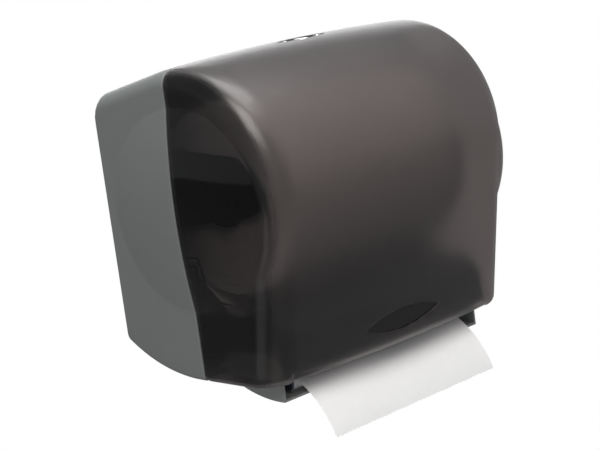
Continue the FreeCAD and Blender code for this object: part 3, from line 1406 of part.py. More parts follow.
def main():
    """Write one file per piece."""
    os.makedirs("parts", exist_ok=True)
    build()
    for name in sorted(NODES):
        shape = NODES[name]
        solids = len(shape.Solids)
        print("%-18s solids %d valid %s volume %.1f cm3" % (name, solids, shape.isValid(), shape.Volume / 1000))
        shape.exportStep("parts/%s.step" % name)


main()
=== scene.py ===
"""Touchless towel dispenser: its visible surfaces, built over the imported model.

Metres, +X to the right seen from the front, +Y into the wall, +Z up. The roll turns on a line
along X at the height of the origin, and most outer surfaces are measured from that line.
"""

import bmesh
import bpy
import numpy as np
from bpy.props import FloatProperty, FloatVectorProperty, PointerProperty
from bpy.types import Operator, Panel, PropertyGroup
from mathutils import Matrix, Vector


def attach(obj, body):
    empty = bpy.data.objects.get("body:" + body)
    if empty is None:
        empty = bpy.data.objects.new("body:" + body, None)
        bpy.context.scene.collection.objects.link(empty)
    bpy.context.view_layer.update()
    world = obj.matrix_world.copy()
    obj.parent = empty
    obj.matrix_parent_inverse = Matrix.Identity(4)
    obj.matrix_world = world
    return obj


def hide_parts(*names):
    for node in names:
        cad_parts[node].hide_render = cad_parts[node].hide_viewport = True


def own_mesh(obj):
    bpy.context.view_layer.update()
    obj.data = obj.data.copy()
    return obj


bl_info = {
    "name": "Touchless towel dispenser",
    "version": (1, 0, 0),
    "blender": (4, 5, 0),
    "location": "View3D > Sidebar > Dispenser",
    "description": "Builds the shells, paper, lock, window and finishes of a wall-mounted towel dispenser",
    "category": "Add Mesh",
}

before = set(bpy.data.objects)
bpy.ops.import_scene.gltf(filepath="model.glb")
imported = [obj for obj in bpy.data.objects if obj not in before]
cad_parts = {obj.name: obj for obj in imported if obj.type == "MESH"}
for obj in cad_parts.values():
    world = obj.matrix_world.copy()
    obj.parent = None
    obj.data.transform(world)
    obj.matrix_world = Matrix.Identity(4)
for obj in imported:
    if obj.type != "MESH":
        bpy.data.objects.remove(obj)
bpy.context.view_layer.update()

X_AXIS, Y_AXIS, Z_AXIS = np.eye(3)
AXIS_DEPTH = 0.115              # roll's axis in front of the wall
BEYOND = 0.3                    # farther than the body reaches
ACROSS = ((-0.25, 0, 0), (0.5, 0, 0))
FAR_RAY = 9.0                   # farther than any ray goes
FACING = 1e-6                   # least share of a ray that counts as towards a plane
DRUM_BLEND = 0.0022             # rounding in the corner between body and round side
JOIN_DISTANCE = 2e-6
TONGUE = (0.0036, 0.0056, 0.0024, 0.004)    # under the skin from, to; length; depth of its root
TONGUE_BEVEL = 0.0004
ROOT_STEP = 0.001
FOOT_CORNER = (2.6,)            # angles of rays through the tight corners, in front and behind
REAR_CORNERS = (np.radians(219.8), np.radians(323.0))
WINDING = 0.0042                # ridges on the roll's ends
LOCK_BORE = 0.0086
SCREW_BOSS = 0.009
SCREW_HOLE = 0.003
CUP_FLOOR = 0.0025              # plastic under the lock's and the window's recess
CUP_WALL = 0.002
DUST_COLOUR = (0.42, 0.41, 0.38)


def length(name, default, description):
    """Length property in metres."""
    return FloatProperty(name=name, default=default, description=description, unit="LENGTH", precision=5)


def angle(name, degrees, description):
    """Angle property, given in degrees."""
    return FloatProperty(name=name, default=np.radians(degrees), description=description, unit="ROTATION")


def power(name, default, description):
    """Lamp's power in watts."""
    return FloatProperty(name=name, default=default, description=description, unit="POWER")


def colour(name, default, description):
    """Linear colour property."""
    return FloatVectorProperty(name=name, default=default, description=description, subtype="COLOR",
                               size=3, min=0.0, max=1.0)


class CabinetSizes(PropertyGroup):
    """Outer form shared by the grey housing and the smoke cover."""
    half_width: length("Half width", 0.184, "Middle to the flat of the side")
    wall: length("Wall", 0.003, "Thickness of both shells")
    axis_y: length("Roll axis depth", -AXIS_DEPTH, "Place of the roll's axis in front of the wall")
    seam_y: length("Seam", -0.1075, "Plane where housing and cover meet")
    seam_gap: length("Seam gap", 0.0008, "Air between the two edges")
    seam_top: length("Top at seam", 0.1447, "Height of the top's straight line at the seam")
    top_tilt: angle("Top tilt", 12.5, "Fall of the top towards the wall")
    slant: angle("Front slant", 10.6, "Lean of the front towards its foot")
    foot_y: length("Foot depth", -0.2135, "Foot of the slanted front, in depth")
    foot_z: length("Foot height", -0.164, "Foot of the slanted front, in height")
    base_z: length("Underside", -0.1732, "Underside at the seam")
    base_fall: angle("Underside fall", 1.9, "Fall of the underside towards the front")
    heel_z: length("Heel", -0.138, "Underside at the wall")
    heel_slope: angle("Heel slope", 35.0, "Rise of the underside towards the wall")
    brow_radius: length("Brow radius", 0.126, "Rounding over the top front")
    wall_top_radius: length("Rear top radius", 0.012, "Rounding where the top meets the wall")
    foot_radius: length("Foot radius", 0.012, "Rounding where front meets underside")
    heel_radius: length("Heel radius", 0.18, "Rounding where underside meets heel")
    heel_corner: length("Heel corner", 0.005, "Rounding where the heel meets the wall")
    back_skim: length("Back skim", 0.0003, "Taken off the back to leave it flat")
    top_crown: length("Top crown", 0.005, "Fall of the top from the middle to the sides")
    top_fillet: length("Top side fillet", 0.015, "Rounding of the top towards the sides")
    front_crown: length("Front crown", 0.008, "Fall of the front from the middle to the sides")
    front_fillet: length("Front side fillet", 0.032, "Rounding of the front towards the sides")
    base_fillet: length("Underside fillet", 0.005, "Rounding of the underside towards the sides")
    dome_radius: length("Dome radius", 0.1025, "Round window in the side")
    dome_height: length("Dome height", 0.0085, "Bulge of the round window")
    rim_radius: length("Rim radius", 0.015, "Rounding around the round window")
    drum_depth: length("Drum depth", 0.044, "How far the round side reaches into the body")
    edge_round: length("Edge rounding", 0.0011, "Rounding of the shells' edges at the seam")
    hinge_y: length("Hinge depth", -0.117, "Cover hinge, in depth")
    hinge_z: length("Hinge height", -0.1642, "Cover hinge, in height")
    corner_radius: length("Rear foot corner", 0.0091, "Cover's rear foot corner about the hinge")
    tongue_low: length("Tongue's foot", -0.132, "Height where the tongue ends above the cover's hinge")
    foot_open_x: length("Foot opening", 0.1575, "Half width of the cover's open foot")
    foot_open_y: length("Foot opening front", -0.205, "Front edge of the cover's open foot")
    window_z: length("Window height", -0.148, "Height of the sensor window")
    window_half: length("Window half length", 0.059, "Middle to the window's tip")
    window_half_h: length("Window half height", 0.012, "Middle to the window's upper edge")
    window_pocket: length("Window pocket", 0.0046, "Depth of the window's recess")
    lock_y: length("Lock depth", -0.1245, "Lock axis in front of the wall")
    lock_half: length("Lock half length", 0.038, "Middle to the tip of the lock's recess")
    lock_half_d: length("Lock half depth", 0.009, "Middle to the side of the lock's recess")
    lock_pocket: length("Lock pocket", 0.003, "Depth of the lock's recess")
    cup_below: length("Lock cup", 0.0022, "Rim of the lock's cup under the brow")
    screw_x: length("Wall screw side", 0.1016, "Wall screws, to the side")
    screw_z: length("Wall screw height", 0.0635, "Wall screws, up and down")


class PaperSizes(PropertyGroup):
    """Towel roll, core and the sheet that runs out of the mouth."""
    width: length("Towel width", 0.254, "Width of the towel")
    thick: length("Towel thickness", 0.0004, "Thickness of one layer")
    roll_radius: length("Roll radius", 0.097, "Full roll")
    core_radius: length("Core radius", 0.0222, "Outside of the cardboard core")
    seat: length("Seat", 0.0003, "Air between sheet and roll or roller")
    feed_y: length("Feed roller depth", -0.1605, "Feed roller axis, in depth")
    feed_z: length("Feed roller height", -0.1505, "Feed roller axis, in height")
    feed_radius: length("Feed roller radius", 0.017, "Outside of the rubber sleeves")
    exit_fall: angle("Exit fall", 30.0, "Direction of the sheet at the nip")
    tail_start: length("Run to the mouth", 0.027, "Straight run from the nip to the mouth")
    tail_radius: length("Tail bend", 0.110, "Bend of the hanging end")
    tail_fall: angle("Tail fall", 70.0, "Direction of the sheet at its free end")


class FinishColours(PropertyGroup):
    """Base colours of the finishes."""
    housing: colour("Housing", (0.165, 0.176, 0.171), "Grey of the rear housing")
    smoke: colour("Smoke cover", (0.350, 0.322, 0.315), "Tint of the translucent cover")
    window: colour("Sensor window", (0.006, 0.006, 0.007), "Sensor window")
    chute: colour("Chute", (0.26, 0.275, 0.27), "Grey of the paper chute")
    navy: colour("Dispensing unit", (0.022, 0.026, 0.045), "Plates, hood and battery box")
    arm: colour("Arms", (0.008, 0.011, 0.028), "Roll arms")
    paper: colour("Paper", (0.89, 0.885, 0.88), "Towel")
    core: colour("Core", (0.40, 0.29, 0.18), "Cardboard core")


class StageSettings(PropertyGroup):
    """Camera and light."""
    lens: FloatProperty(name="Lens", default=0.111, description="Focal length", unit="CAMERA")
    azimuth: angle("Azimuth", 45.5, "Camera to the left of the front")
    elevation: angle("Elevation", 9.84, "Camera above the horizontal")
    turn: angle("Turn", 7.75, "Camera turned about its own line of sight")
    distance: length("Distance", 2.015, "Camera to the roll's axis")
    aim_right: length("Aim right", 0.070, "Picture centre to the right of the origin")
    aim_down: length("Aim down", -0.0549, "Picture centre above the origin")
    floor_z: length("Floor", -1.15, "Height of the floor")
    key: power("Key light", 52.0, "Power of the key light")
    top: power("Top light", 49.0, "Power of the overhead light")
    side: power("Side light", 1.5, "Power of the light from the left")
    low: power("Low light", 0.8, "Power of the low light in front")
    rim: power("Rim light", 30.0, "Power of the light behind")
    ambient: FloatProperty(name="Ambient", default=0.36, description="Strength of the light from all round")


def fillet_drop(radius, reach, x):
    """How far a rounded side edge has fallen at x: radius less the height of its quarter circle."""
    over = np.clip(np.abs(x) - (reach - radius), 0.0, radius)
    return radius - np.sqrt(np.maximum(radius ** 2 - over ** 2, 0.0))


def skin_radius(s, x, phi, inset):
    """Distance from the roll's axis to the cabinet's skin along a ray at angle phi.

    phi is 0 straight up and grows towards the front. The side outline is five straight lines, each
    moved inwards by its crown, side fillet and inset, with an arc in each corner. The round side
    is a drum with a rounded rim, and the larger of the two counts, up to the wall plane.
    """
    x, phi, inset = np.broadcast_arrays(x, phi, inset)
    reach = s.half_width - inset
    share = (x / reach) ** 2
    top = s.top_crown * share + fillet_drop(np.maximum(s.top_fillet - inset, 0.002), reach, x) + inset
    front = s.front_crown * share + fillet_drop(s.front_fillet - inset, reach, x) + inset
    base = fillet_drop(np.maximum(s.base_fillet - inset, 0.001), reach, x) + inset
    lines = [
        (s.seam_y, s.seam_top, np.sin(s.top_tilt), np.cos(s.top_tilt), top),
        (s.foot_y, s.foot_z, -np.cos(s.slant), -np.sin(s.slant), front),
        (s.seam_y, s.base_z, np.sin(s.base_fall), -np.cos(s.base_fall), base),
        (0.0, s.heel_z, np.sin(s.heel_slope), -np.cos(s.heel_slope), base),
        (0.0, 0.0, 1.0, 0.0, inset - s.back_skim),
    ]
    radii = [
        s.wall_top_radius - inset,
        s.brow_radius - (top + front) / 2,
        s.foot_radius - inset,
        s.heel_radius + 0 * inset,
        np.maximum(s.heel_corner - inset, 0.001),
    ]
    ray_y = -np.sin(phi)
    ray_z = np.cos(phi)
    planes = [(ny, nz, (py - s.axis_y) * ny + pz * nz - shift) for py, pz, ny, nz, shift in lines]
    skin = np.full(phi.shape, FAR_RAY)
    for ny, nz, gap in planes:
        facing = ny * ray_y + nz * ray_z
        skin = np.minimum(skin, np.where(facing > FACING, gap / np.maximum(facing, FACING), FAR_RAY))
    for index, radius in enumerate(radii):
        ay, az, a_gap = planes[index - 1]
        by, bz, b_gap = planes[index]
        turn = ay * bz - az * by
        cy = ((a_gap - radius) * bz - (b_gap - radius) * az) / turn
        cz = (ay * (b_gap - radius) - by * (a_gap - radius)) / turn
        along = ray_y * cy + ray_z * cz
        inside = along ** 2 - (cy ** 2 + cz ** 2 - radius ** 2)
        root = along + np.sqrt(np.maximum(inside, 0.0))
        qy = ray_y * root - cy
        qz = ray_z * root - cz
        sense = np.sign(turn)
        on_arc = (inside > 0) & (sense * (ay * qz - az * qy) >= 0) & (sense * (qy * bz - qz * by) >= 0)
        skin = np.where(on_arc, root, skin)
    over = np.maximum(np.abs(x) - (s.half_width - s.rim_radius), 0.0)
    rim = s.rim_radius - inset
    drum = s.dome_radius + np.sqrt(np.maximum(rim ** 2 - over ** 2, 0.0))
    drum = np.where(np.abs(x) > s.half_width - s.drum_depth, drum, 0.0)
    lean = np.clip(0.5 + 0.5 * (skin - drum) / DRUM_BLEND, 0.0, 1.0)
    skin = drum + (skin - drum) * lean + DRUM_BLEND * lean * (1 - lean) * 0.5
    wall_gap = -s.axis_y - inset
    return np.minimum(skin, np.where(ray_y > FACING, wall_gap / np.maximum(ray_y, FACING), FAR_RAY))


def spread(count, low, high, spots, weight):
    """Numbers from 0 to 1, closer together where low..high passes one of the spots.

    The density is 1 plus a bell of the given weight at each spot, and its running sum is inverted.
    """
    fine = np.linspace(0.0, 1.0, 2001)
    at = low + (high - low) * fine
    density = 1.0 + weight * sum(np.exp(-((at - spot) / 0.07) ** 2) for spot in spots)
    total = np.concatenate(([0.0], np.cumsum((density[1:] + density[:-1]) / 2)))
    return np.interp(np.linspace(0.0, 1.0, count), total / total[-1], fine)


def shell_grid(s, edge_y, front, tongue):
    """Closed shell on one side of the seam plane, as a grid of rows along X and columns around.

    Each column has an inset and runs at a share of the way round between two rays that meet the
    seam plane. The columns go round the outer skin, the rounded edge, the inner skin and the
    other edge. Rows end in the two domes, where the ray's foot slides to a pole on the seam plane.
    """
    e = s.edge_round
    sign = 1.0 if front else -1.0
    bend = np.radians([30.0, 60.0, 90.0])
    arc_in = [(e * (1 - np.sin(t)), e * (1 - np.cos(t))) for t in bend]
    edge = list(arc_in)
    if tongue:
        t_out, t_in, t_len, t_root = tongue
        b = TONGUE_BEVEL
        edge += [(0.0, t_out), (-t_len + b, t_out), (-t_len, t_out + b), (-t_len, t_in - b),
                 (-t_len + b, t_in), (t_root, t_in), (t_root + ROOT_STEP, s.wall)]
    else:
        edge += [(d, s.wall - i) for d, i in reversed(arc_in)]
    spots = FOOT_CORNER if front else REAR_CORNERS
    low, high = (-0.06, np.pi + 0.05) if front else (np.pi + 0.05, 2 * np.pi - 0.06)
    shares = spread(150 if front else 110, low, high, spots, 3.0)
    last = tongue[3] + ROOT_STEP if tongue else e
    columns = [(e, 0.0, v) for v in shares]
    columns += [(d, i, 1.0) for d, i in edge]
    columns += [(last, s.wall, v) for v in shares[::-1]]
    columns += [(d, i, 0.0) for d, i in reversed(edge)]
    depth, inset, share = (np.array(values)[None, :] for values in zip(*columns))

    start = s.half_width - s.rim_radius
    middle = np.linspace(0.0, s.half_width - s.front_fillet, 25)
    slope = np.linspace(s.half_width - s.front_fillet, start, 9)[1:]
    rim = start + s.rim_radius * np.sin(np.linspace(0.0, np.pi / 2, 13)[1:])
    rows = [(x, 1.0, 1.0) for x in (*middle, *slope, *rim)]
    rows += [(s.half_width, flat, 1.0) for flat in (0.8, 0.6, 0.4, 0.2, 0.05, 0.0)]
    rows += [(s.half_width, 0.0, dome) for dome in (0.985, *np.linspace(0.95, 0.0, 15))]
    right = np.array(rows).T
    left = right[:, :0:-1] * [[-1], [1], [1]]
    rows_x, rows_flat, rows_dome = np.concatenate((left, right), axis=1)[..., None]
    tight = np.maximum(np.abs(rows_x) - start, 0.0) * (s.rim_radius - inset) / s.rim_radius
    x = np.sign(rows_x) * (np.minimum(np.abs(rows_x), start) + tight)
    offset = edge_y - s.axis_y - sign * depth
    shape = np.broadcast_shapes(x.shape, depth.shape)
    upper = np.zeros(shape)
    lower = np.full(shape, np.pi)
    for _ in range(8):
        upper = -np.arcsin(offset / skin_radius(s, x, upper, inset))
        lower = np.pi + np.arcsin(offset / skin_radius(s, x, lower, inset))
    if front:
        phi = upper + (lower - upper) * share
    else:
        phi = lower + (upper + 2 * np.pi - lower) * share
    outline = skin_radius(s, x, phi, inset)
    outline = np.where(np.abs(rows_x) >= s.half_width, np.maximum(outline, s.dome_radius), outline)
    radius = np.where(rows_flat < 1, s.dome_radius + (outline - s.dome_radius) * rows_flat, outline)
    on_seam = (share == 0.0) | (share == 1.0)
    seam_phi_low = np.pi + np.arcsin(offset / np.maximum(radius, 0.05))
    seam_phi_up = -np.arcsin(offset / np.maximum(radius, 0.05)) + (0.0 if front else 2 * np.pi)
    at_start = seam_phi_up if front else seam_phi_low
    at_end = seam_phi_low if front else seam_phi_up
    phi = np.where(on_seam & (share == 0.0), at_start, np.where(on_seam, at_end, phi))
    y = s.axis_y - np.sin(phi) * radius
    z = np.cos(phi) * radius
    pole = edge_y - sign * depth
    y = pole + (y - pole) * rows_dome
    z = z * rows_dome
    ball = (s.dome_radius ** 2 + s.dome_height ** 2) / (2 * s.dome_height)
    from_axis = np.hypot(y - s.axis_y, z)
    rise = np.sqrt(np.maximum(ball ** 2 - from_axis ** 2, 0.0)) - np.sqrt(ball ** 2 - s.dome_radius ** 2)
    x = x + np.sign(rows_x) * np.where(rows_flat <= 0.0, np.maximum(rise, 0.0), 0.0)
    return np.stack(np.broadcast_arrays(x, y, z), axis=-1)


def grid_mesh(name, points, close_v=False, flip=False):
    """Mesh from a grid of points; close_v joins the last column to the first."""
    rows, cols = points.shape[:2]
    index = np.arange(rows * cols).reshape(rows, cols)
    right = np.roll(index, -1, axis=1)
    if not close_v:
        index, right = index[:, :-1], right[:, :-1]
    quads = np.stack((index[:-1], right[:-1], right[1:], index[1:]), axis=-1).reshape(-1, 4)
    if flip:
        quads = quads[:, ::-1]
    mesh = bpy.data.meshes.new(name)
    mesh.from_pydata(points.reshape(-1, 3).tolist(), [], quads.tolist())
    mesh.update()
    return mesh


def closed_mesh(name, points):
    """Mesh of a grid that closes on itself: points that coincide joined, faces turned outward."""
    mesh = grid_mesh(name, points, close_v=True)
    work = bmesh.new()
    work.from_mesh(mesh)
    bmesh.ops.remove_doubles(work, verts=work.verts, dist=JOIN_DISTANCE)
    bmesh.ops.dissolve_degenerate(work, dist=JOIN_DISTANCE, edges=work.edges)
    if work.calc_volume(signed=True) < 0:
        bmesh.ops.reverse_faces(work, faces=work.faces)
    work.to_mesh(mesh)
    work.free()
    return mesh


def new_object(name, data):
    """Object for a mesh, lamp or camera, in the scene."""
    obj = bpy.data.objects.new(name, data)
    bpy.context.scene.collection.objects.link(obj)
    return obj


def add_piece(name, mesh, body, material, smooth_angle=32.0):
    """Object for a finished mesh, riding on a body, smooth but for its sharp edges."""
    obj = new_object(name, mesh)
    mesh.shade_smooth()
    mesh.set_sharp_from_angle(angle=np.radians(smooth_angle))
    mesh.materials.clear()
    mesh.materials.append(material)
    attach(obj, body)
    return obj


def combine(base, other, operation):
    """Boolean of two meshes, as a new mesh."""
    one = new_object("work_base", base)
    two = new_object("work_tool", other)
    step = one.modifiers.new("step", "BOOLEAN")
    step.operation = operation
    step.object = two
    step.solver = "EXACT"
    bpy.context.view_layer.update()
    made = bpy.data.meshes.new_from_object(one.evaluated_get(bpy.context.evaluated_depsgraph_get()))
    for obj in (one, two):
        bpy.data.objects.remove(obj)
    return made


def prism(ring, start, step):
    """Solid swept along a straight line: a flat ring of points repeated along step, ends filled."""
    near = ring + np.asarray(start)
    mesh = grid_mesh("tool", np.stack((near, near + np.asarray(step))), close_v=True)
    work = bmesh.new()
    work.from_mesh(mesh)
    work.verts.ensure_lookup_table()
    for first in (0, len(ring)):
        work.faces.new(work.verts[first:first + len(ring)])
    bmesh.ops.recalc_face_normals(work, faces=work.faces)
    work.to_mesh(mesh)
    work.free()
    return mesh


def almond(half, half_h, across, up, count=49):
    """Outline of two equal arcs that meet in a point at each end.

    An arc over a chord of 2*half with height half_h has radius (half^2 + half_h^2) / (2 half_h).
    """
    radius = (half ** 2 + half_h ** 2) / (2 * half_h)
    a = np.linspace(-half, half, count)
    h = np.sqrt(radius ** 2 - a ** 2) - (radius - half_h)
    ring_a = np.concatenate((a, a[-2:0:-1]))
    ring_h = np.concatenate((h, -h[-2:0:-1]))
    return ring_a[:, None] * across + ring_h[:, None] * up


def disc_ring(radius, across, up, count=48):
    """Circle of points about the origin, in the plane of across and up."""
    t = np.linspace(0.0, 2 * np.pi, count, endpoint=False)[:, None]
    return radius * (np.cos(t) * across + np.sin(t) * up)


def rectangle(y0, y1, low, high):
    """Four points in the plane across the width."""
    return np.array([(0, y0, high), (0, y0, low), (0, y1, low), (0, y1, high)])


def front_axes(s):
    """Outward normal and upward direction of the slanted front."""
    normal = np.array([0.0, -np.cos(s.slant), -np.sin(s.slant)])
    upward = np.array([0.0, -np.sin(s.slant), np.cos(s.slant)])
    return normal, upward


def window_place(s):
    """Point on the middle of the slanted front at the window's height."""
    return np.array([0.0, s.foot_y - (s.window_z - s.foot_z) * np.tan(s.slant), s.window_z])


def lock_height(s):
    """Height of the brow over the lock's axis, in the middle of the width."""
    phi = np.array([0.0])
    for _ in range(12):
        radius = skin_radius(s, np.array([0.0]), phi, np.array([0.0]))
        phi = np.arcsin((s.axis_y - s.lock_y) / radius)
    return float((np.cos(phi) * radius)[0])


def worked(mesh, tools):
    """Mesh with each tool, a ring swept along a step, joined to it or cut from it in turn."""
    for operation, ring, start, step in tools:
        mesh = combine(mesh, prism(ring, start, step), operation)
    return mesh


def cover_mesh(s):
    """Smoke cover: shell in front of the seam, foot and rear corner cut open, cups for lock and window."""
    rear = s.seam_y - s.seam_gap / 2
    mesh = closed_mesh("cover_shell", shell_grid(s, rear, True, None))
    foot = rectangle(s.foot_open_y, 0.0, -BEYOND, s.hinge_z)
    t = np.linspace(-np.pi / 2, 0.0, 13)
    hinge = np.array([0.0, s.hinge_y, s.hinge_z])
    arc = hinge + s.corner_radius * np.stack((0 * t, np.cos(t), np.sin(t)), 1)
    corner = np.concatenate((arc, rectangle(rear + 0.02, s.hinge_y, -BEYOND, s.hinge_z)[:3]))
    top = lock_height(s)
    low = top - s.lock_pocket - CUP_FLOOR
    at = np.array([0.0, s.lock_y, 0.0])
    lock_cup = almond(s.lock_half + 0.005, s.lock_half_d + CUP_WALL, X_AXIS, Y_AXIS)
    lock_pocket = almond(s.lock_half, s.lock_half_d, X_AXIS, Y_AXIS)
    normal, upward = front_axes(s)
    spot = window_place(s)
    depth = s.window_pocket + CUP_FLOOR
    window_cup = almond(s.window_half + 0.006, s.window_half_h + CUP_WALL, X_AXIS, upward)
    window_pocket = almond(s.window_half, s.window_half_h, X_AXIS, upward)
    hole = almond(s.window_half - 0.005, s.window_half_h - 0.003, X_AXIS, upward)
    mesh = worked(mesh, (
        ("DIFFERENCE", foot, (-s.foot_open_x, 0, 0), (2 * s.foot_open_x, 0, 0)),
        ("DIFFERENCE", corner, *ACROSS),
        ("UNION", lock_cup, at + low * Z_AXIS, (top - s.cup_below - low) * Z_AXIS),
        ("UNION", window_cup, spot - depth * normal, (depth - 0.0012) * normal),
        ("DIFFERENCE", lock_pocket, at + (top - s.lock_pocket) * Z_AXIS, 0.02 * Z_AXIS),
        ("DIFFERENCE", window_pocket, spot - s.window_pocket * normal, 0.02 * normal),
        ("DIFFERENCE", hole, spot - (depth + 0.001) * normal, 0.01 * normal),
        ("DIFFERENCE", disc_ring(LOCK_BORE, X_AXIS, Y_AXIS), at + (low - 0.001) * Z_AXIS, 0.01 * Z_AXIS),
    ))
    mesh.name = "cover_shell"
    return mesh


def housing_mesh(s):
    """Grey housing: shell behind the seam with a locating tongue, wall screw bosses and holes."""
    edge = s.seam_y + s.seam_gap / 2
    mesh = closed_mesh("housing_shell", shell_grid(s, edge, False, TONGUE))
    tools = [("DIFFERENCE", rectangle(edge, -0.2, -BEYOND, s.tongue_low), *ACROSS)]
    for side in (-1, 1):
        for level in (-1, 1):
            at = np.array([side * s.screw_x, 0.0, level * s.screw_z])
            boss = disc_ring(SCREW_BOSS, X_AXIS, Z_AXIS)
            hole = disc_ring(SCREW_HOLE, X_AXIS, Z_AXIS, 24)
            tools.append(("UNION", boss, at - (0, 0.006, 0), (0, 0.0045, 0)))
            tools.append(("DIFFERENCE", hole, at - (0, 0.008, 0), (0, 0.01, 0)))
    mesh = worked(mesh, tools)
    mesh.name = "housing_shell"
    return mesh


def roll_mesh(p, axis_y):
    """Wound roll: a profile turned about the roll's axis, with the layers' spiral on both ends.

    The end face sinks by up to 0.5 mm as a sum of two saw-like waves of the winding count,
    (r - pitch * turn) / pitch, so that the ridges run inwards like the layers do.
    """
    half = p.width / 2
    outer = p.roll_radius
    ends = [*np.linspace(p.core_radius, outer - 0.0008, 56), outer - 0.0003, outer - 0.0001]
    profile = [(-half, r, 1.0) for r in ends]
    profile += [(x, outer, 0.0) for x in np.linspace(-half + 0.0006, half - 0.0006, 40)]
    profile += [(half, r, 1.0) for r in ends[::-1]]
    x, radius, on_end = np.array(profile).T
    turn = np.linspace(0.0, 1.0, 180, endpoint=False)[:, None]
    count = (radius - WINDING * turn) / WINDING
    saw = count - np.floor(count)
    slow = 0.5 + 0.5 * np.sin(radius * 310 + 1.7 + 2 * np.sin(2 * np.pi * turn))
    sink = on_end * (0.00028 * saw + 0.00026 * slow)
    layer = (1 - on_end) * 0.00012 * (0.5 + 0.5 * np.sin(2 * np.pi * turn * 3 + x * 60))
    x = x - np.sign(x) * sink
    radius = radius - layer
    angle_at = 2 * np.pi * turn
    points = np.stack((x, axis_y + radius * np.cos(angle_at), radius * np.sin(angle_at)), axis=-1)
    far = points[:, -1:]
    bore = points[:, :1] - far
    points = np.concatenate((points, far + bore * 0.33, far + bore * 0.66), 1)
    return closed_mesh("towel_windings", np.concatenate((points, points[:1]), 0))


def nip_geometry(p, axis_y):
    """Directions and places of the sheet's run: tangent to roll and feed roller, nip and exit."""
    along = np.array([-np.cos(p.exit_fall), -np.sin(p.exit_fall)])
    across = np.array([-np.sin(p.exit_fall), np.cos(p.exit_fall)])
    feed = np.array([p.feed_y, p.feed_z])
    big = p.roll_radius + p.seat + p.thick / 2
    small = p.feed_radius + p.seat + p.thick / 2
    nip = feed - across * small
    gap = np.hypot(p.feed_y - axis_y, p.feed_z)
    base = np.arctan2(-p.feed_z, axis_y - p.feed_y)
    lean = np.arccos((big - small) / gap)
    turn = np.pi + base + lean
    return along, nip, turn, big, small


def web_points(p, axis_y):
    """Sheet from the roll's underside round the feed roller's foot and out to the mouth."""
    along, nip, turn, big, small = nip_geometry(p, axis_y)
    start = np.array([axis_y + np.cos(turn) * big, np.sin(turn) * big])
    feed = np.array([p.feed_y, p.feed_z])
    touch = feed + small * np.array([np.cos(turn), np.sin(turn)])
    last = np.arctan2(nip[1] - p.feed_z, nip[0] - p.feed_y)
    last += 2 * np.pi * np.round((turn - last) / (2 * np.pi))
    bend = np.linspace(turn, last, 12)[1:-1, None]
    round_part = feed + small * np.concatenate((np.cos(bend), np.sin(bend)), axis=1)
    run = start + (touch - start) * np.linspace(0.0, 1.0, 14)[:, None]
    out = nip + along * p.tail_start * np.linspace(0.0, 1.0, 8)[:, None]
    path = np.concatenate((run, round_part, out))
    x = np.linspace(-p.width / 2, p.width / 2, 65)
    return np.stack(np.broadcast_arrays(x, path[:, :1], path[:, 1:]), axis=-1)


def tail_points(p, axis_y):
    """Free end of the sheet: an arc from the mouth downwards, a little wavy, with a torn edge.

    Along the arc the sheet's fall goes evenly from exit_fall to tail_fall. Waves across the width
    grow with the square of the way out, and the last rows follow the blade's teeth.
    """
    along, nip, _, _, _ = nip_geometry(p, axis_y)
    first = nip + along * p.tail_start
    x = np.linspace(-p.width / 2, p.width / 2, 255)
    way = np.linspace(0.0, 1.0, 34)[:, None]
    pitch = p.width / 42
    tooth = np.abs((x / pitch) % 1.0 - 0.5) * 2
    torn = 1.0 - 0.016 * tooth - 0.006 * (0.5 + 0.5 * np.sin(x * 190 + 2))
    fall = p.exit_fall + (p.tail_fall - p.exit_fall) * way * (1 - (1 - torn) * way ** 6)
    wave = 0.0004 * way ** 2 * (np.sin(x * 31 + 0.7) + 0.4 * np.sin(x * 74 + 2.2) - 1.4)
    radius = p.tail_radius + wave
    y = first[0] - radius * np.sin(fall) + p.tail_radius * np.sin(p.exit_fall)
    z = first[1] + radius * np.cos(fall) - p.tail_radius * np.cos(p.exit_fall)
    return np.stack(np.broadcast_arrays(x, y, z), axis=-1)


def fill(tree, node, inputs):
    """Link each input of a node to a socket, or set it to a number or colour."""
    for key, value in inputs.items():
        socket = node.inputs[key]
        if isinstance(value, bpy.types.NodeSocket):
            tree.links.new(value, socket)
        elif socket.type == "RGBA":
            socket.default_value = (*value, 1.0)
        else:
            socket.default_value = value
    return node


def add_node(tree, kind, inputs, **settings):
    """New node with its settings and inputs."""
    node = tree.nodes.new(kind)
    for key, value in settings.items():
        setattr(node, key, value)
    return fill(tree, node, inputs)


def noise(tree, vector, scale, detail=2.0, rough=0.5):
    """Noise texture on a vector."""
    inputs = {"Vector": vector, "Scale": scale, "Detail": detail, "Roughness": rough}
    return add_node(tree, "ShaderNodeTexNoise", inputs).outputs["Fac"]


def maths(tree, operation, *values, clamp=False):
    """Math node on sockets or numbers."""
    node = add_node(tree, "ShaderNodeMath", dict(enumerate(values)), operation=operation, use_clamp=clamp)
    return node.outputs[0]


def mul(tree, a, b, clamp=False):
    """Product of two sockets or numbers."""
    return maths(tree, "MULTIPLY", a, b, clamp=clamp)


def hypotenuse(tree, a, b):
    """Length of two parts at right angles."""
    return maths(tree, "SQRT", maths(tree, "ADD", mul(tree, a, a), mul(tree, b, b)))


def ramp(tree, value, low, high, out_low=0.0, out_high=1.0):
    """Value mapped smoothly from low..high to out_low..out_high."""
    inputs = {"Value": value, "From Min": low, "From Max": high, "To Min": out_low, "To Max": out_high}
    return add_node(tree, "ShaderNodeMapRange", inputs, interpolation_type="SMOOTHSTEP").outputs["Result"]


def stretched(tree, vector, scale):
    """Vector scaled unevenly."""
    return add_node(tree, "ShaderNodeMapping", {"Vector": vector, "Scale": scale}).outputs["Vector"]


def coordinates(tree, kind="Object"):
    """Object coordinates, or the surface's normal."""
    return tree.nodes.new("ShaderNodeTexCoord").outputs[kind]


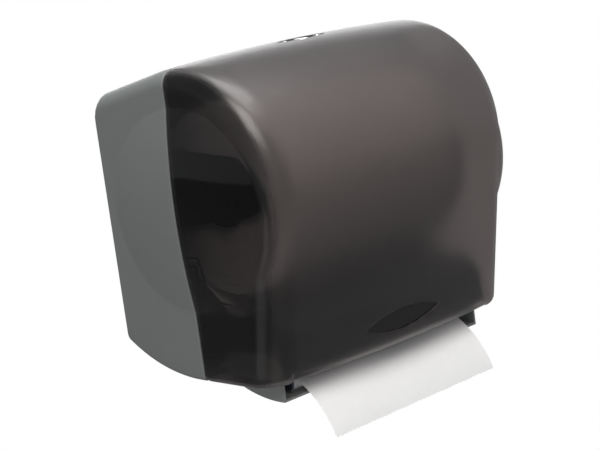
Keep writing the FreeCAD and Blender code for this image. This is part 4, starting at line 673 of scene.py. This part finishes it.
def split_xyz(tree, vector):
    """The three parts of a vector."""
    return list(add_node(tree, "ShaderNodeSeparateXYZ", {"Vector": vector}).outputs)


def moulded_grain(group, scale):
    """Spark-eroded mould texture: fine cells, their height, and slow changes of tone."""
    place = coordinates(group)
    inputs = {"Vector": place, "Scale": mul(group, scale, 1500.0)}
    cells = add_node(group, "ShaderNodeTexVoronoi", inputs, feature="SMOOTH_F1").outputs["Distance"]
    fine = noise(group, place, 900.0, 3.0, 0.6)
    height = maths(group, "MULTIPLY_ADD", cells, 0.6, mul(group, fine, 0.5))
    slow = maths(group, "ADD", noise(group, place, 7.0, 3.0), noise(group, place, 60.0))
    return {"Height": height, "Tone": mul(group, slow, 0.5)}


def settled_dust(group, amount):
    """Mask of dust: most on faces that look up, broken by noise."""
    up = ramp(group, split_xyz(group, coordinates(group, "Normal"))[2], 0.35, 1.0)
    broken = ramp(group, noise(group, coordinates(group), 45.0, 5.0, 0.65), 0.3, 0.75, 0.35, 1.0)
    return {"Mask": mul(group, mul(group, up, broken), amount, clamp=True)}


def fine_scuffs(group, amount):
    """Mask of short hairline scuffs: stretched noise, cut near its top, in two directions."""
    place = coordinates(group)
    one = ramp(group, noise(group, stretched(group, place, (1.0, 0.3, 9.0)), 160.0), 0.66, 0.74)
    two = ramp(group, noise(group, stretched(group, place, (7.0, 1.0, 0.6)), 130.0), 0.67, 0.75)
    where = ramp(group, noise(group, place, 9.0), 0.42, 0.62)
    mask = mul(group, maths(group, "MAXIMUM", one, two), where)
    return {"Mask": mul(group, mask, amount)}


def paper_fibre(group, depth):
    """Towel paper: creped height across the width and cloudy fibre tone."""
    place = coordinates(group)
    crepe = noise(group, stretched(group, place, (0.25, 1.0, 1.0)), 900.0, 3.0, 0.6)
    fibre = noise(group, stretched(group, place, (1.0, 2.5, 2.5)), 420.0, 4.0, 0.7)
    height = maths(group, "MULTIPLY_ADD", crepe, depth, mul(group, fibre, 0.7))
    return {"Height": height, "Tone": noise(group, place, 110.0, 5.0, 0.7)}


def winding_lines(group, pitch):
    """Edges of the wound layers: bands of radius about the roll's axis, shifted along a spiral."""
    _, y, z = split_xyz(group, coordinates(group))
    y = maths(group, "ADD", y, AXIS_DEPTH)
    turn = maths(group, "DIVIDE", maths(group, "ARCTAN2", z, y), 2 * np.pi)
    count = maths(group, "SUBTRACT", maths(group, "DIVIDE", hypotenuse(group, y, z), pitch), turn)
    ring = add_node(group, "ShaderNodeCombineXYZ", {"X": maths(group, "FLOOR", count)}).outputs["Vector"]
    tone = add_node(group, "ShaderNodeTexWhiteNoise", {"Vector": ring}).outputs["Value"]
    return {"Height": maths(group, "FRACT", count), "Tone": tone}


def brushed_lines(group, scale):
    """Drawn or turned metal: long thin noise along X."""
    place = coordinates(group)
    inputs = {0: stretched(group, place, (0.05, 1.0, 1.0)), "Scale": scale}
    scaled = add_node(group, "ShaderNodeVectorMath", inputs, operation="SCALE").outputs["Vector"]
    height = noise(group, scaled, 1700.0, 4.0, 0.6)
    return {"Height": height, "Tone": noise(group, place, 80.0, 3.0)}


def group_node(tree, maker, value):
    """Outputs of a shared group, placed with its own setting.

    The maker fills the group the first time, from its one setting, and gives its results by name.
    """
    group = bpy.data.node_groups.get(maker.__name__)
    if group is None:
        group = bpy.data.node_groups.new(maker.__name__, "ShaderNodeTree")
        group.interface.new_socket("Setting", in_out="INPUT", socket_type="NodeSocketFloat")
        results = maker(group, group.nodes.new("NodeGroupInput").outputs[0])
        for label in results:
            group.interface.new_socket(label, in_out="OUTPUT", socket_type="NodeSocketFloat")
        add_node(group, "NodeGroupOutput", results)
    return add_node(tree, "ShaderNodeGroup", {0: value}, node_tree=group).outputs


def new_surface(name):
    """Material with its Principled shader."""
    material = bpy.data.materials.new(name)
    material.use_nodes = True
    return material, material.node_tree, material.node_tree.nodes["Principled BSDF"]


def mixed(tree, factor, a, b):
    """Mix of two colours by a mask; each colour is a tuple or a socket."""
    return add_node(tree, "ShaderNodeMix", {"Factor": factor, 6: a, 7: b}, data_type="RGBA").outputs[2]


def bump(tree, height, strength, distance):
    """Normal bent by a height."""
    inputs = {"Height": height, "Strength": strength, "Distance": distance}
    return add_node(tree, "ShaderNodeBump", inputs).outputs["Normal"]


def shade(base, factor):
    """Colour made darker or lighter."""
    return tuple(min(1.0, c * factor) for c in base)


def cloudy(tree, tone, base, dark, light):
    """Colour that drifts between two shades with a tone."""
    return mixed(tree, ramp(tree, tone, 0.3, 0.7), shade(base, dark), shade(base, light))


def moulded_plastic(name, base, rough, grain, dust, scuffs, scale=1.0, coat=0.0, vary=0.08):
    """Injection-moulded plastic: grain, slow tone, dust on top, hairline scuffs."""
    material, tree, shader = new_surface(name)
    grained = group_node(tree, moulded_grain, scale)
    dusty = group_node(tree, settled_dust, dust)["Mask"]
    scuffed = group_node(tree, fine_scuffs, scuffs)["Mask"]
    tone = cloudy(tree, grained["Tone"], base, 1 - vary, 1 + vary)
    marked = mixed(tree, scuffed, tone, shade(base, 1.7))
    uneven = maths(tree, "MULTIPLY_ADD", grained["Tone"], 0.12, rough - 0.06)
    fill(tree, shader, {
        "Base Color": mixed(tree, mul(tree, dusty, 0.3), marked, DUST_COLOUR),
        "Roughness": maths(tree, "MULTIPLY_ADD", dusty, 0.2, uneven, clamp=True),
        "Coat Weight": coat,
        "Normal": bump(tree, grained["Height"], grain, 0.00012),
    })
    return material


def smoke_plastic(name, tint, s):
    """Smoke polycarbonate: frosted over front and top, polished on the sides, where the tint is darkened as
    painted shade for the shaded roll end and arms seen through them.
    """
    material, tree, shader = new_surface(name)
    grained = group_node(tree, moulded_grain, 0.8)
    x, y, z = split_xyz(tree, coordinates(tree))
    start = s.half_width - s.rim_radius
    # side zone: it sets the lower roughness there and also carries the painted shade of the darker tint
    # below
    side = ramp(tree, maths(tree, "ABSOLUTE", x), start + 0.002, start + 0.0125)
    radius = hypotenuse(tree, maths(tree, "SUBTRACT", y, s.axis_y), z)
    within = ramp(tree, radius, s.dome_radius - 0.0006, s.dome_radius + 0.0006, 1.0, 0.0)
    polished = mul(tree, within, side)
    tone = cloudy(tree, grained["Tone"], tint, 0.98, 1.02)
    frosted = ramp(tree, side, 0.0, 1.0, 0.34, 0.22)
    rough = maths(tree, "SUBTRACT", frosted, mul(tree, polished, 0.17))
    rough = maths(tree, "SUBTRACT", rough, 0.025)
    calm = mul(tree, ramp(tree, polished, 0.0, 1.0, 1.0, 0.0), ramp(tree, side, 0.0, 1.0, 1.0, 0.25))
    fill(tree, shader, {
        # painted shade: the tint is darkened to 0.42 on the sides so that the roll end and arms seen
        # through them look shaded
        "Base Color": mixed(tree, side, tone, shade(tint, 0.42)),
        "Roughness": maths(tree, "MULTIPLY_ADD", grained["Tone"], 0.05, rough, clamp=True),
        "Metallic": 0.0,
        "Transmission Weight": 1.0,
        "IOR": 1.43,
        "Normal": bump(tree, mul(tree, grained["Height"], calm), 0.12, 0.00008),
    })
    let_light_in(tree, shader, np.array(tint) ** 0.6)
    return material


def by_ray(tree, ray, other, chosen):
    """Shader that is the chosen one for one kind of ray and the other one for the rest."""
    path = tree.nodes.get("Light Path") or tree.nodes.new("ShaderNodeLightPath")
    inputs = {0: path.outputs[ray], 1: other, 2: chosen}
    return add_node(tree, "ShaderNodeMixShader", inputs).outputs["Shader"]


def let_light_in(tree, shader, tint):
    """Glass that lamps and bounced light pass straight through, tinted once at each face."""
    clear = add_node(tree, "ShaderNodeBsdfTransparent", {"Color": tint}).outputs["BSDF"]
    out = shader.outputs["BSDF"]
    for ray in ("Is Shadow Ray", "Is Diffuse Ray"):
        out = by_ray(tree, ray, out, clear)
    fill(tree, tree.nodes["Material Output"], {"Surface": out})


def towel_paper(name, base, wound):
    """Creped towel paper; the roll's ends show the edges of its layers."""
    material, tree, shader = new_surface(name)
    fibre = group_node(tree, paper_fibre, 1.0)
    tone = cloudy(tree, fibre["Tone"], base, 0.985, 1.01)
    height = fibre["Height"]
    if wound:
        lines = group_node(tree, winding_lines, 0.0011)
        across = split_xyz(tree, coordinates(tree, "Normal"))[0]
        end = ramp(tree, maths(tree, "ABSOLUTE", across), 0.6, 0.9)
        streak = mul(tree, ramp(tree, lines["Tone"], 0.0, 1.0, 0.0, 0.6), end)
        tone = mixed(tree, streak, tone, shade(base, 0.72))
        height = maths(tree, "MULTIPLY_ADD", mul(tree, lines["Height"], end), 1.5, height)
    normal = bump(tree, height, 0.16, 0.0002)
    fill(tree, shader, {"Base Color": tone, "Roughness": 0.9, "Sheen Weight": 0.2, "Normal": normal})
    return material


def turned_metal(name, base, rough=0.28, scale=1.0, depth=0.15):
    """Steel or zinc with fine drawn lines and cloudy roughness."""
    material, tree, shader = new_surface(name)
    lines = group_node(tree, brushed_lines, scale)
    scuffed = group_node(tree, fine_scuffs, 0.5)["Mask"]
    tone = cloudy(tree, lines["Tone"], base, 0.86, 1.08)
    fill(tree, shader, {
        "Base Color": mixed(tree, scuffed, tone, shade(base, 1.25)),
        "Metallic": 1.0,
        "Roughness": maths(tree, "MULTIPLY_ADD", lines["Height"], 0.16, rough - 0.08, clamp=True),
        "Normal": bump(tree, lines["Height"], depth, 0.00008),
    })
    return material


def gloss_window(name, base):
    """Near-black infrared window: polished, with faint handling scuffs."""
    material, tree, shader = new_surface(name)
    scuffed = group_node(tree, fine_scuffs, 0.5)["Mask"]
    grained = group_node(tree, moulded_grain, 0.3)
    fill(tree, shader, {
        "Base Color": mixed(tree, scuffed, base, (0.05, 0.05, 0.055)),
        "Roughness": maths(tree, "MULTIPLY_ADD", scuffed, 0.3, 0.07),
        "Coat Weight": 0.15,
        "Specular IOR Level": 0.3,
        "Normal": bump(tree, grained["Height"], 0.02, 0.0001),
    })
    return material


NODE_FINISH = {
    "housing": ["latch_catch"],
    "chute": ["paper_chute"],
    "unit": ["left_frame", "right_frame", "gear_plate", "drive_hood", "battery_box", "board_tray"],
    "arms": ["left_arm", "right_arm", "arm_bracket"],
    "hubs": ["left_hub", "right_hub", "feed_roller"],
    "bushes": ["roller_bushes"],
    "rubber": ["feed_sleeves"],
    "knobs": ["pinch_roller", "feed_button", "length_selector", "battery_door"],
    "gears": ["drive_gear", "compound_gear"],
    "contacts": ["motor_pinion", "battery_contacts"],
    "black_parts": ["button_switch", "sensor_module", "board_parts"],
    "eyes": ["sensor_eyes"],
    "cells": ["battery_cells"],
    "board": ["control_board"],
    "core": ["roll_core"],
    "leads": ["battery_lead", "motor_lead", "sensor_lead"],
    "steel": ["lock_cam", "cover_hinge_pins", "tear_bar", "tear_bar_screws", "compound_axle",
              "motor_screws", "battery_door_pin", "arm_pivot_pin"],
    "zinc": ["lock_barrel", "lock_screws", "motor", "arm_screws"],
    "lock_face": ["lock_cylinder"],
    "inlay": ["lock_plate"],
    "window": ["sensor_window"],
}


def make_finishes(c, s):
    """Every finish by name."""
    return {
        "housing": moulded_plastic("housing_satin", c.housing, 0.42, 0.16, 0.2, 0.12, vary=0.02),
        "smoke": smoke_plastic("smoke_cover", c.smoke, s),
        "chute": moulded_plastic("chute_satin", c.chute, 0.4, 0.2, 0.15, 0.3),
        "unit": moulded_plastic("unit_navy", c.navy, 0.4, 0.3, 0.3, 0.2),
        "arms": moulded_plastic("arm_navy", c.arm, 0.32, 0.2, 0.15, 0.3),
        "hubs": moulded_plastic("hub_plastic", (0.012, 0.016, 0.034), 0.3, 0.15, 0.1, 0.3),
        "bushes": moulded_plastic("bush_plastic", (0.5, 0.48, 0.42), 0.35, 0.1, 0.05, 0.1),
        "rubber": moulded_plastic("roller_rubber", (0.025, 0.025, 0.026), 0.72, 0.5, 0.3, 0.4, 0.6),
        "knobs": moulded_plastic("knob_grey", (0.27, 0.28, 0.3), 0.36, 0.15, 0.1, 0.3),
        "gears": moulded_plastic("gear_plastic", (0.72, 0.70, 0.62), 0.32, 0.08, 0.05, 0.1),
        "black_parts": moulded_plastic("parts_black", (0.014, 0.014, 0.015), 0.35, 0.2, 0.1, 0.2),
        "eyes": gloss_window("eye_lens", (0.02, 0.01, 0.03)),
        "cells": moulded_plastic("cell_jacket", (0.016, 0.016, 0.018), 0.22, 0.05, 0.05, 0.3, 0.5, 0.4),
        "board": moulded_plastic("board_lacquer", (0.012, 0.09, 0.035), 0.25, 0.3, 0.1, 0.2, 0.4, 0.5),
        "leads": moulded_plastic("lead_sheath", (0.02, 0.02, 0.022), 0.45, 0.1, 0.1, 0.1),
        "core": moulded_plastic("core_board", c.core, 0.85, 0.6, 0.1, 0.3, 0.25),
        "roll": towel_paper("towel_wound", c.paper, True),
        "sheet": towel_paper("towel_sheet", c.paper, False),
        "steel": turned_metal("drawn_steel", (0.56, 0.57, 0.58), 0.3),
        "zinc": turned_metal("plated_zinc", (0.66, 0.67, 0.69), 0.24, 1.4, 0.08),
        "contacts": turned_metal("nickel_contacts", (0.66, 0.62, 0.54), 0.26, 1.2, 0.06),
        "lock_face": turned_metal("lock_nickel", (0.82, 0.81, 0.79), 0.16, 1.6, 0.05),
        "inlay": turned_metal("inlay_dark", (0.07, 0.07, 0.075), 0.4, 0.8, 0.12),
        "window": gloss_window("sensor_gloss", c.window),
    }


FINISH = {}


def edge_smoother():
    """Geometry nodes that join a CAD mesh's loose corners and smooth it but for its sharp edges."""
    group = bpy.data.node_groups.new("edge_smoother", "GeometryNodeTree")
    for way in ("INPUT", "OUTPUT"):
        group.interface.new_socket("Geometry", in_out=way, socket_type="NodeSocketGeometry")
    loose = group.nodes.new("NodeGroupInput").outputs[0]
    joined = add_node(group, "GeometryNodeMergeByDistance", {"Geometry": loose, "Distance": JOIN_DISTANCE})
    faces = add_node(group, "GeometryNodeSetShadeSmooth", {"Geometry": joined.outputs["Geometry"]})
    bend = group.nodes.new("GeometryNodeInputMeshEdgeAngle").outputs["Unsigned Angle"]
    gentle = add_node(group, "FunctionNodeCompare", {0: bend, 1: np.radians(30.0)}, data_type="FLOAT",
                      operation="LESS_EQUAL")
    inputs = {"Geometry": faces.outputs["Geometry"], "Shade Smooth": gentle.outputs["Result"]}
    edges = add_node(group, "GeometryNodeSetShadeSmooth", inputs, domain="EDGE")
    add_node(group, "NodeGroupOutput", {0: edges.outputs["Geometry"]})
    return group


class DISPENSER_OT_finishes(Operator):
    """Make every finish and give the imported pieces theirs"""
    bl_idname = "dispenser.finishes"
    bl_label = "Finishes"

    def execute(self, context):
        scene = context.scene
        FINISH.update(make_finishes(scene.dispenser_colours, scene.dispenser_cabinet))
        smoother = edge_smoother()
        for finish, names in NODE_FINISH.items():
            for name in names:
                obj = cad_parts[name]
                obj.data.materials.clear()
                obj.data.materials.append(FINISH[finish])
                step = obj.modifiers.new("edge_smoother", "NODES")
                step.node_group = smoother
        return {"FINISHED"}


class DISPENSER_OT_cover(Operator):
    """Build the smoke cover"""
    bl_idname = "dispenser.cover"
    bl_label = "Smoke cover"

    def execute(self, context):
        mesh = cover_mesh(context.scene.dispenser_cabinet)
        obj = add_piece("cover_shell", mesh, "cover", FINISH["smoke"])
        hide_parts("front_cover")
        return {"FINISHED"}


class DISPENSER_OT_housing(Operator):
    """Build the grey housing"""
    bl_idname = "dispenser.housing"
    bl_label = "Rear housing"

    def execute(self, context):
        mesh = housing_mesh(context.scene.dispenser_cabinet)
        obj = add_piece("housing_shell", mesh, "chassis", FINISH["housing"])
        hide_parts("rear_housing")
        return {"FINISHED"}


class DISPENSER_OT_paper(Operator):
    """Build the wound roll and the sheet through the rollers"""
    bl_idname = "dispenser.paper"
    bl_label = "Towel roll and sheet"

    def execute(self, context):
        p = context.scene.dispenser_paper
        axis_y = context.scene.dispenser_cabinet.axis_y
        mesh = roll_mesh(p, axis_y)
        roll = add_piece("towel_windings", mesh, "roll", FINISH["roll"], 40.0)
        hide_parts("towel_roll")
        points = web_points(p, axis_y)
        mesh = grid_mesh("sheet_web", points, flip=True)
        web = add_piece("sheet_web", mesh, "chassis", FINISH["sheet"], 60.0)
        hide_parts("paper_web")
        mesh = grid_mesh("sheet_tail", tail_points(p, axis_y), flip=True)
        tail = add_piece("sheet_tail", mesh, "chassis", FINISH["sheet"], 60.0)
        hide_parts("paper_tail")
        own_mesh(tail)
        return {"FINISHED"}


class DISPENSER_OT_stage(Operator):
    """Place floor, lights, world and camera"""
    bl_idname = "dispenser.stage"
    bl_label = "Stage"

    def execute(self, context):
        t = context.scene.dispenser_stage
        reach = np.linspace(-14, 14, 9)
        grid = np.stack(np.meshgrid(reach, reach, [t.floor_z], indexing="ij"), -1)
        mesh = grid_mesh("floor", grid[:, :, 0], flip=True)
        floor = new_object("floor", mesh)
        material, tree, shader = new_surface("floor_pale")
        tone = mixed(tree, noise(tree, coordinates(tree), 0.4), (0.34, 0.34, 0.34), (0.38, 0.38, 0.38))
        fill(tree, shader, {"Base Color": tone, "Roughness": 0.9})
        lit = add_node(tree, "ShaderNodeEmission", {"Strength": 1.0}).outputs["Emission"]
        seen = by_ray(tree, "Is Camera Ray", shader.outputs["BSDF"], lit)
        fill(tree, tree.nodes["Material Output"], {"Surface": seen})
        mesh.materials.append(material)
        world = bpy.data.worlds.new("studio")
        world.use_nodes = True
        sky = world.node_tree
        around = fill(sky, sky.nodes["Background"], {"Color": (0.95, 0.97, 1.0), "Strength": t.ambient})
        behind = add_node(sky, "ShaderNodeBackground", {"Color": (1.0, 1.0, 1.0), "Strength": 1.0})
        seen = by_ray(sky, "Is Camera Ray", around.outputs["Background"], behind.outputs["Background"])
        fill(sky, sky.nodes["World Output"], {"Surface": seen})
        context.scene.world = world
        context.scene.view_settings.view_transform = "Standard"
        lights = (
            ("key_light", (-1.6, -1.4, 1.9), 1.5, t.key, (1.0, 0.985, 0.96)),
            ("top_light", (0.2, -0.4, 2.3), 1.6, t.top, (1.0, 1.0, 1.0)),
            ("side_light", (-2.1, 0.0, -0.7), 1.0, t.side, (0.95, 0.97, 1.0)),
            ("low_light", (-1.6, -1.9, -0.5), 0.9, t.low, (1.0, 1.0, 1.0)),
            ("rim_light", (1.6, 2.0, 0.1), 2.2, t.rim, (1.0, 1.0, 1.0)),
        )
        for name, place, size, watts, tint in lights:
            lamp = bpy.data.lights.new(name, "AREA")
            lamp.energy = watts
            lamp.size = size
            lamp.color = tint
            obj = new_object(name, lamp)
            obj.location = place
            aim = Vector((0.0, -0.1, 0.0)) - Vector(place)
            obj.rotation_euler = aim.to_track_quat("-Z", "Y").to_euler()
            obj.visible_camera = False
        right = Vector((np.cos(t.azimuth), -np.sin(t.azimuth), 0.0))
        back = Vector((-np.sin(t.azimuth) * np.cos(t.elevation), -np.cos(t.azimuth) * np.cos(t.elevation),
                       np.sin(t.elevation)))
        up = back.cross(right)
        side = np.cos(t.turn) * right - np.sin(t.turn) * up
        head = np.sin(t.turn) * right + np.cos(t.turn) * up
        place = t.aim_right * side + t.aim_down * head + t.distance * back
        camera = bpy.data.cameras.new("camera")
        camera.lens = t.lens * 1000
        camera.sensor_width = 36.0
        camera.sensor_fit = "HORIZONTAL"
        camera.clip_end = 100.0
        obj = new_object("camera", camera)
        obj.matrix_world = Matrix.Translation(place) @ Matrix((side, head, back)).transposed().to_4x4()
        context.scene.camera = obj
        return {"FINISHED"}


class DISPENSER_PT_panel(Panel):
    """Sidebar panel that lists the dispenser's pieces"""
    bl_idname = "DISPENSER_PT_panel"
    bl_label = "Towel dispenser"
    bl_space_type = "VIEW_3D"
    bl_region_type = "UI"
    bl_category = "Dispenser"

    def draw(self, context):
        for operator in OPERATORS:
            self.layout.operator(operator.bl_idname)


GROUPS = (
    ("dispenser_cabinet", CabinetSizes),
    ("dispenser_paper", PaperSizes),
    ("dispenser_colours", FinishColours),
    ("dispenser_stage", StageSettings),
)
OPERATORS = (
    DISPENSER_OT_finishes,
    DISPENSER_OT_housing,
    DISPENSER_OT_cover,
    DISPENSER_OT_paper,
    DISPENSER_OT_stage,
)
CLASSES = (*(group for _, group in GROUPS), *OPERATORS, DISPENSER_PT_panel)


def register():
    """Register settings, operators and panel."""
    for kind in CLASSES:
        bpy.utils.register_class(kind)
    for name, group in GROUPS:
        setattr(bpy.types.Scene, name, PointerProperty(type=group))


def unregister():
    """Take everything out again, last first."""
    for name, _ in reversed(GROUPS):
        delattr(bpy.types.Scene, name)
    for kind in reversed(CLASSES):
        bpy.utils.unregister_class(kind)


def main():
    """Build everything in order."""
    register()
    bpy.ops.dispenser.finishes()
    bpy.ops.dispenser.housing()
    bpy.ops.dispenser.cover()
    bpy.ops.dispenser.paper()
    bpy.ops.dispenser.stage()


if __name__ == "__main__":
    main()
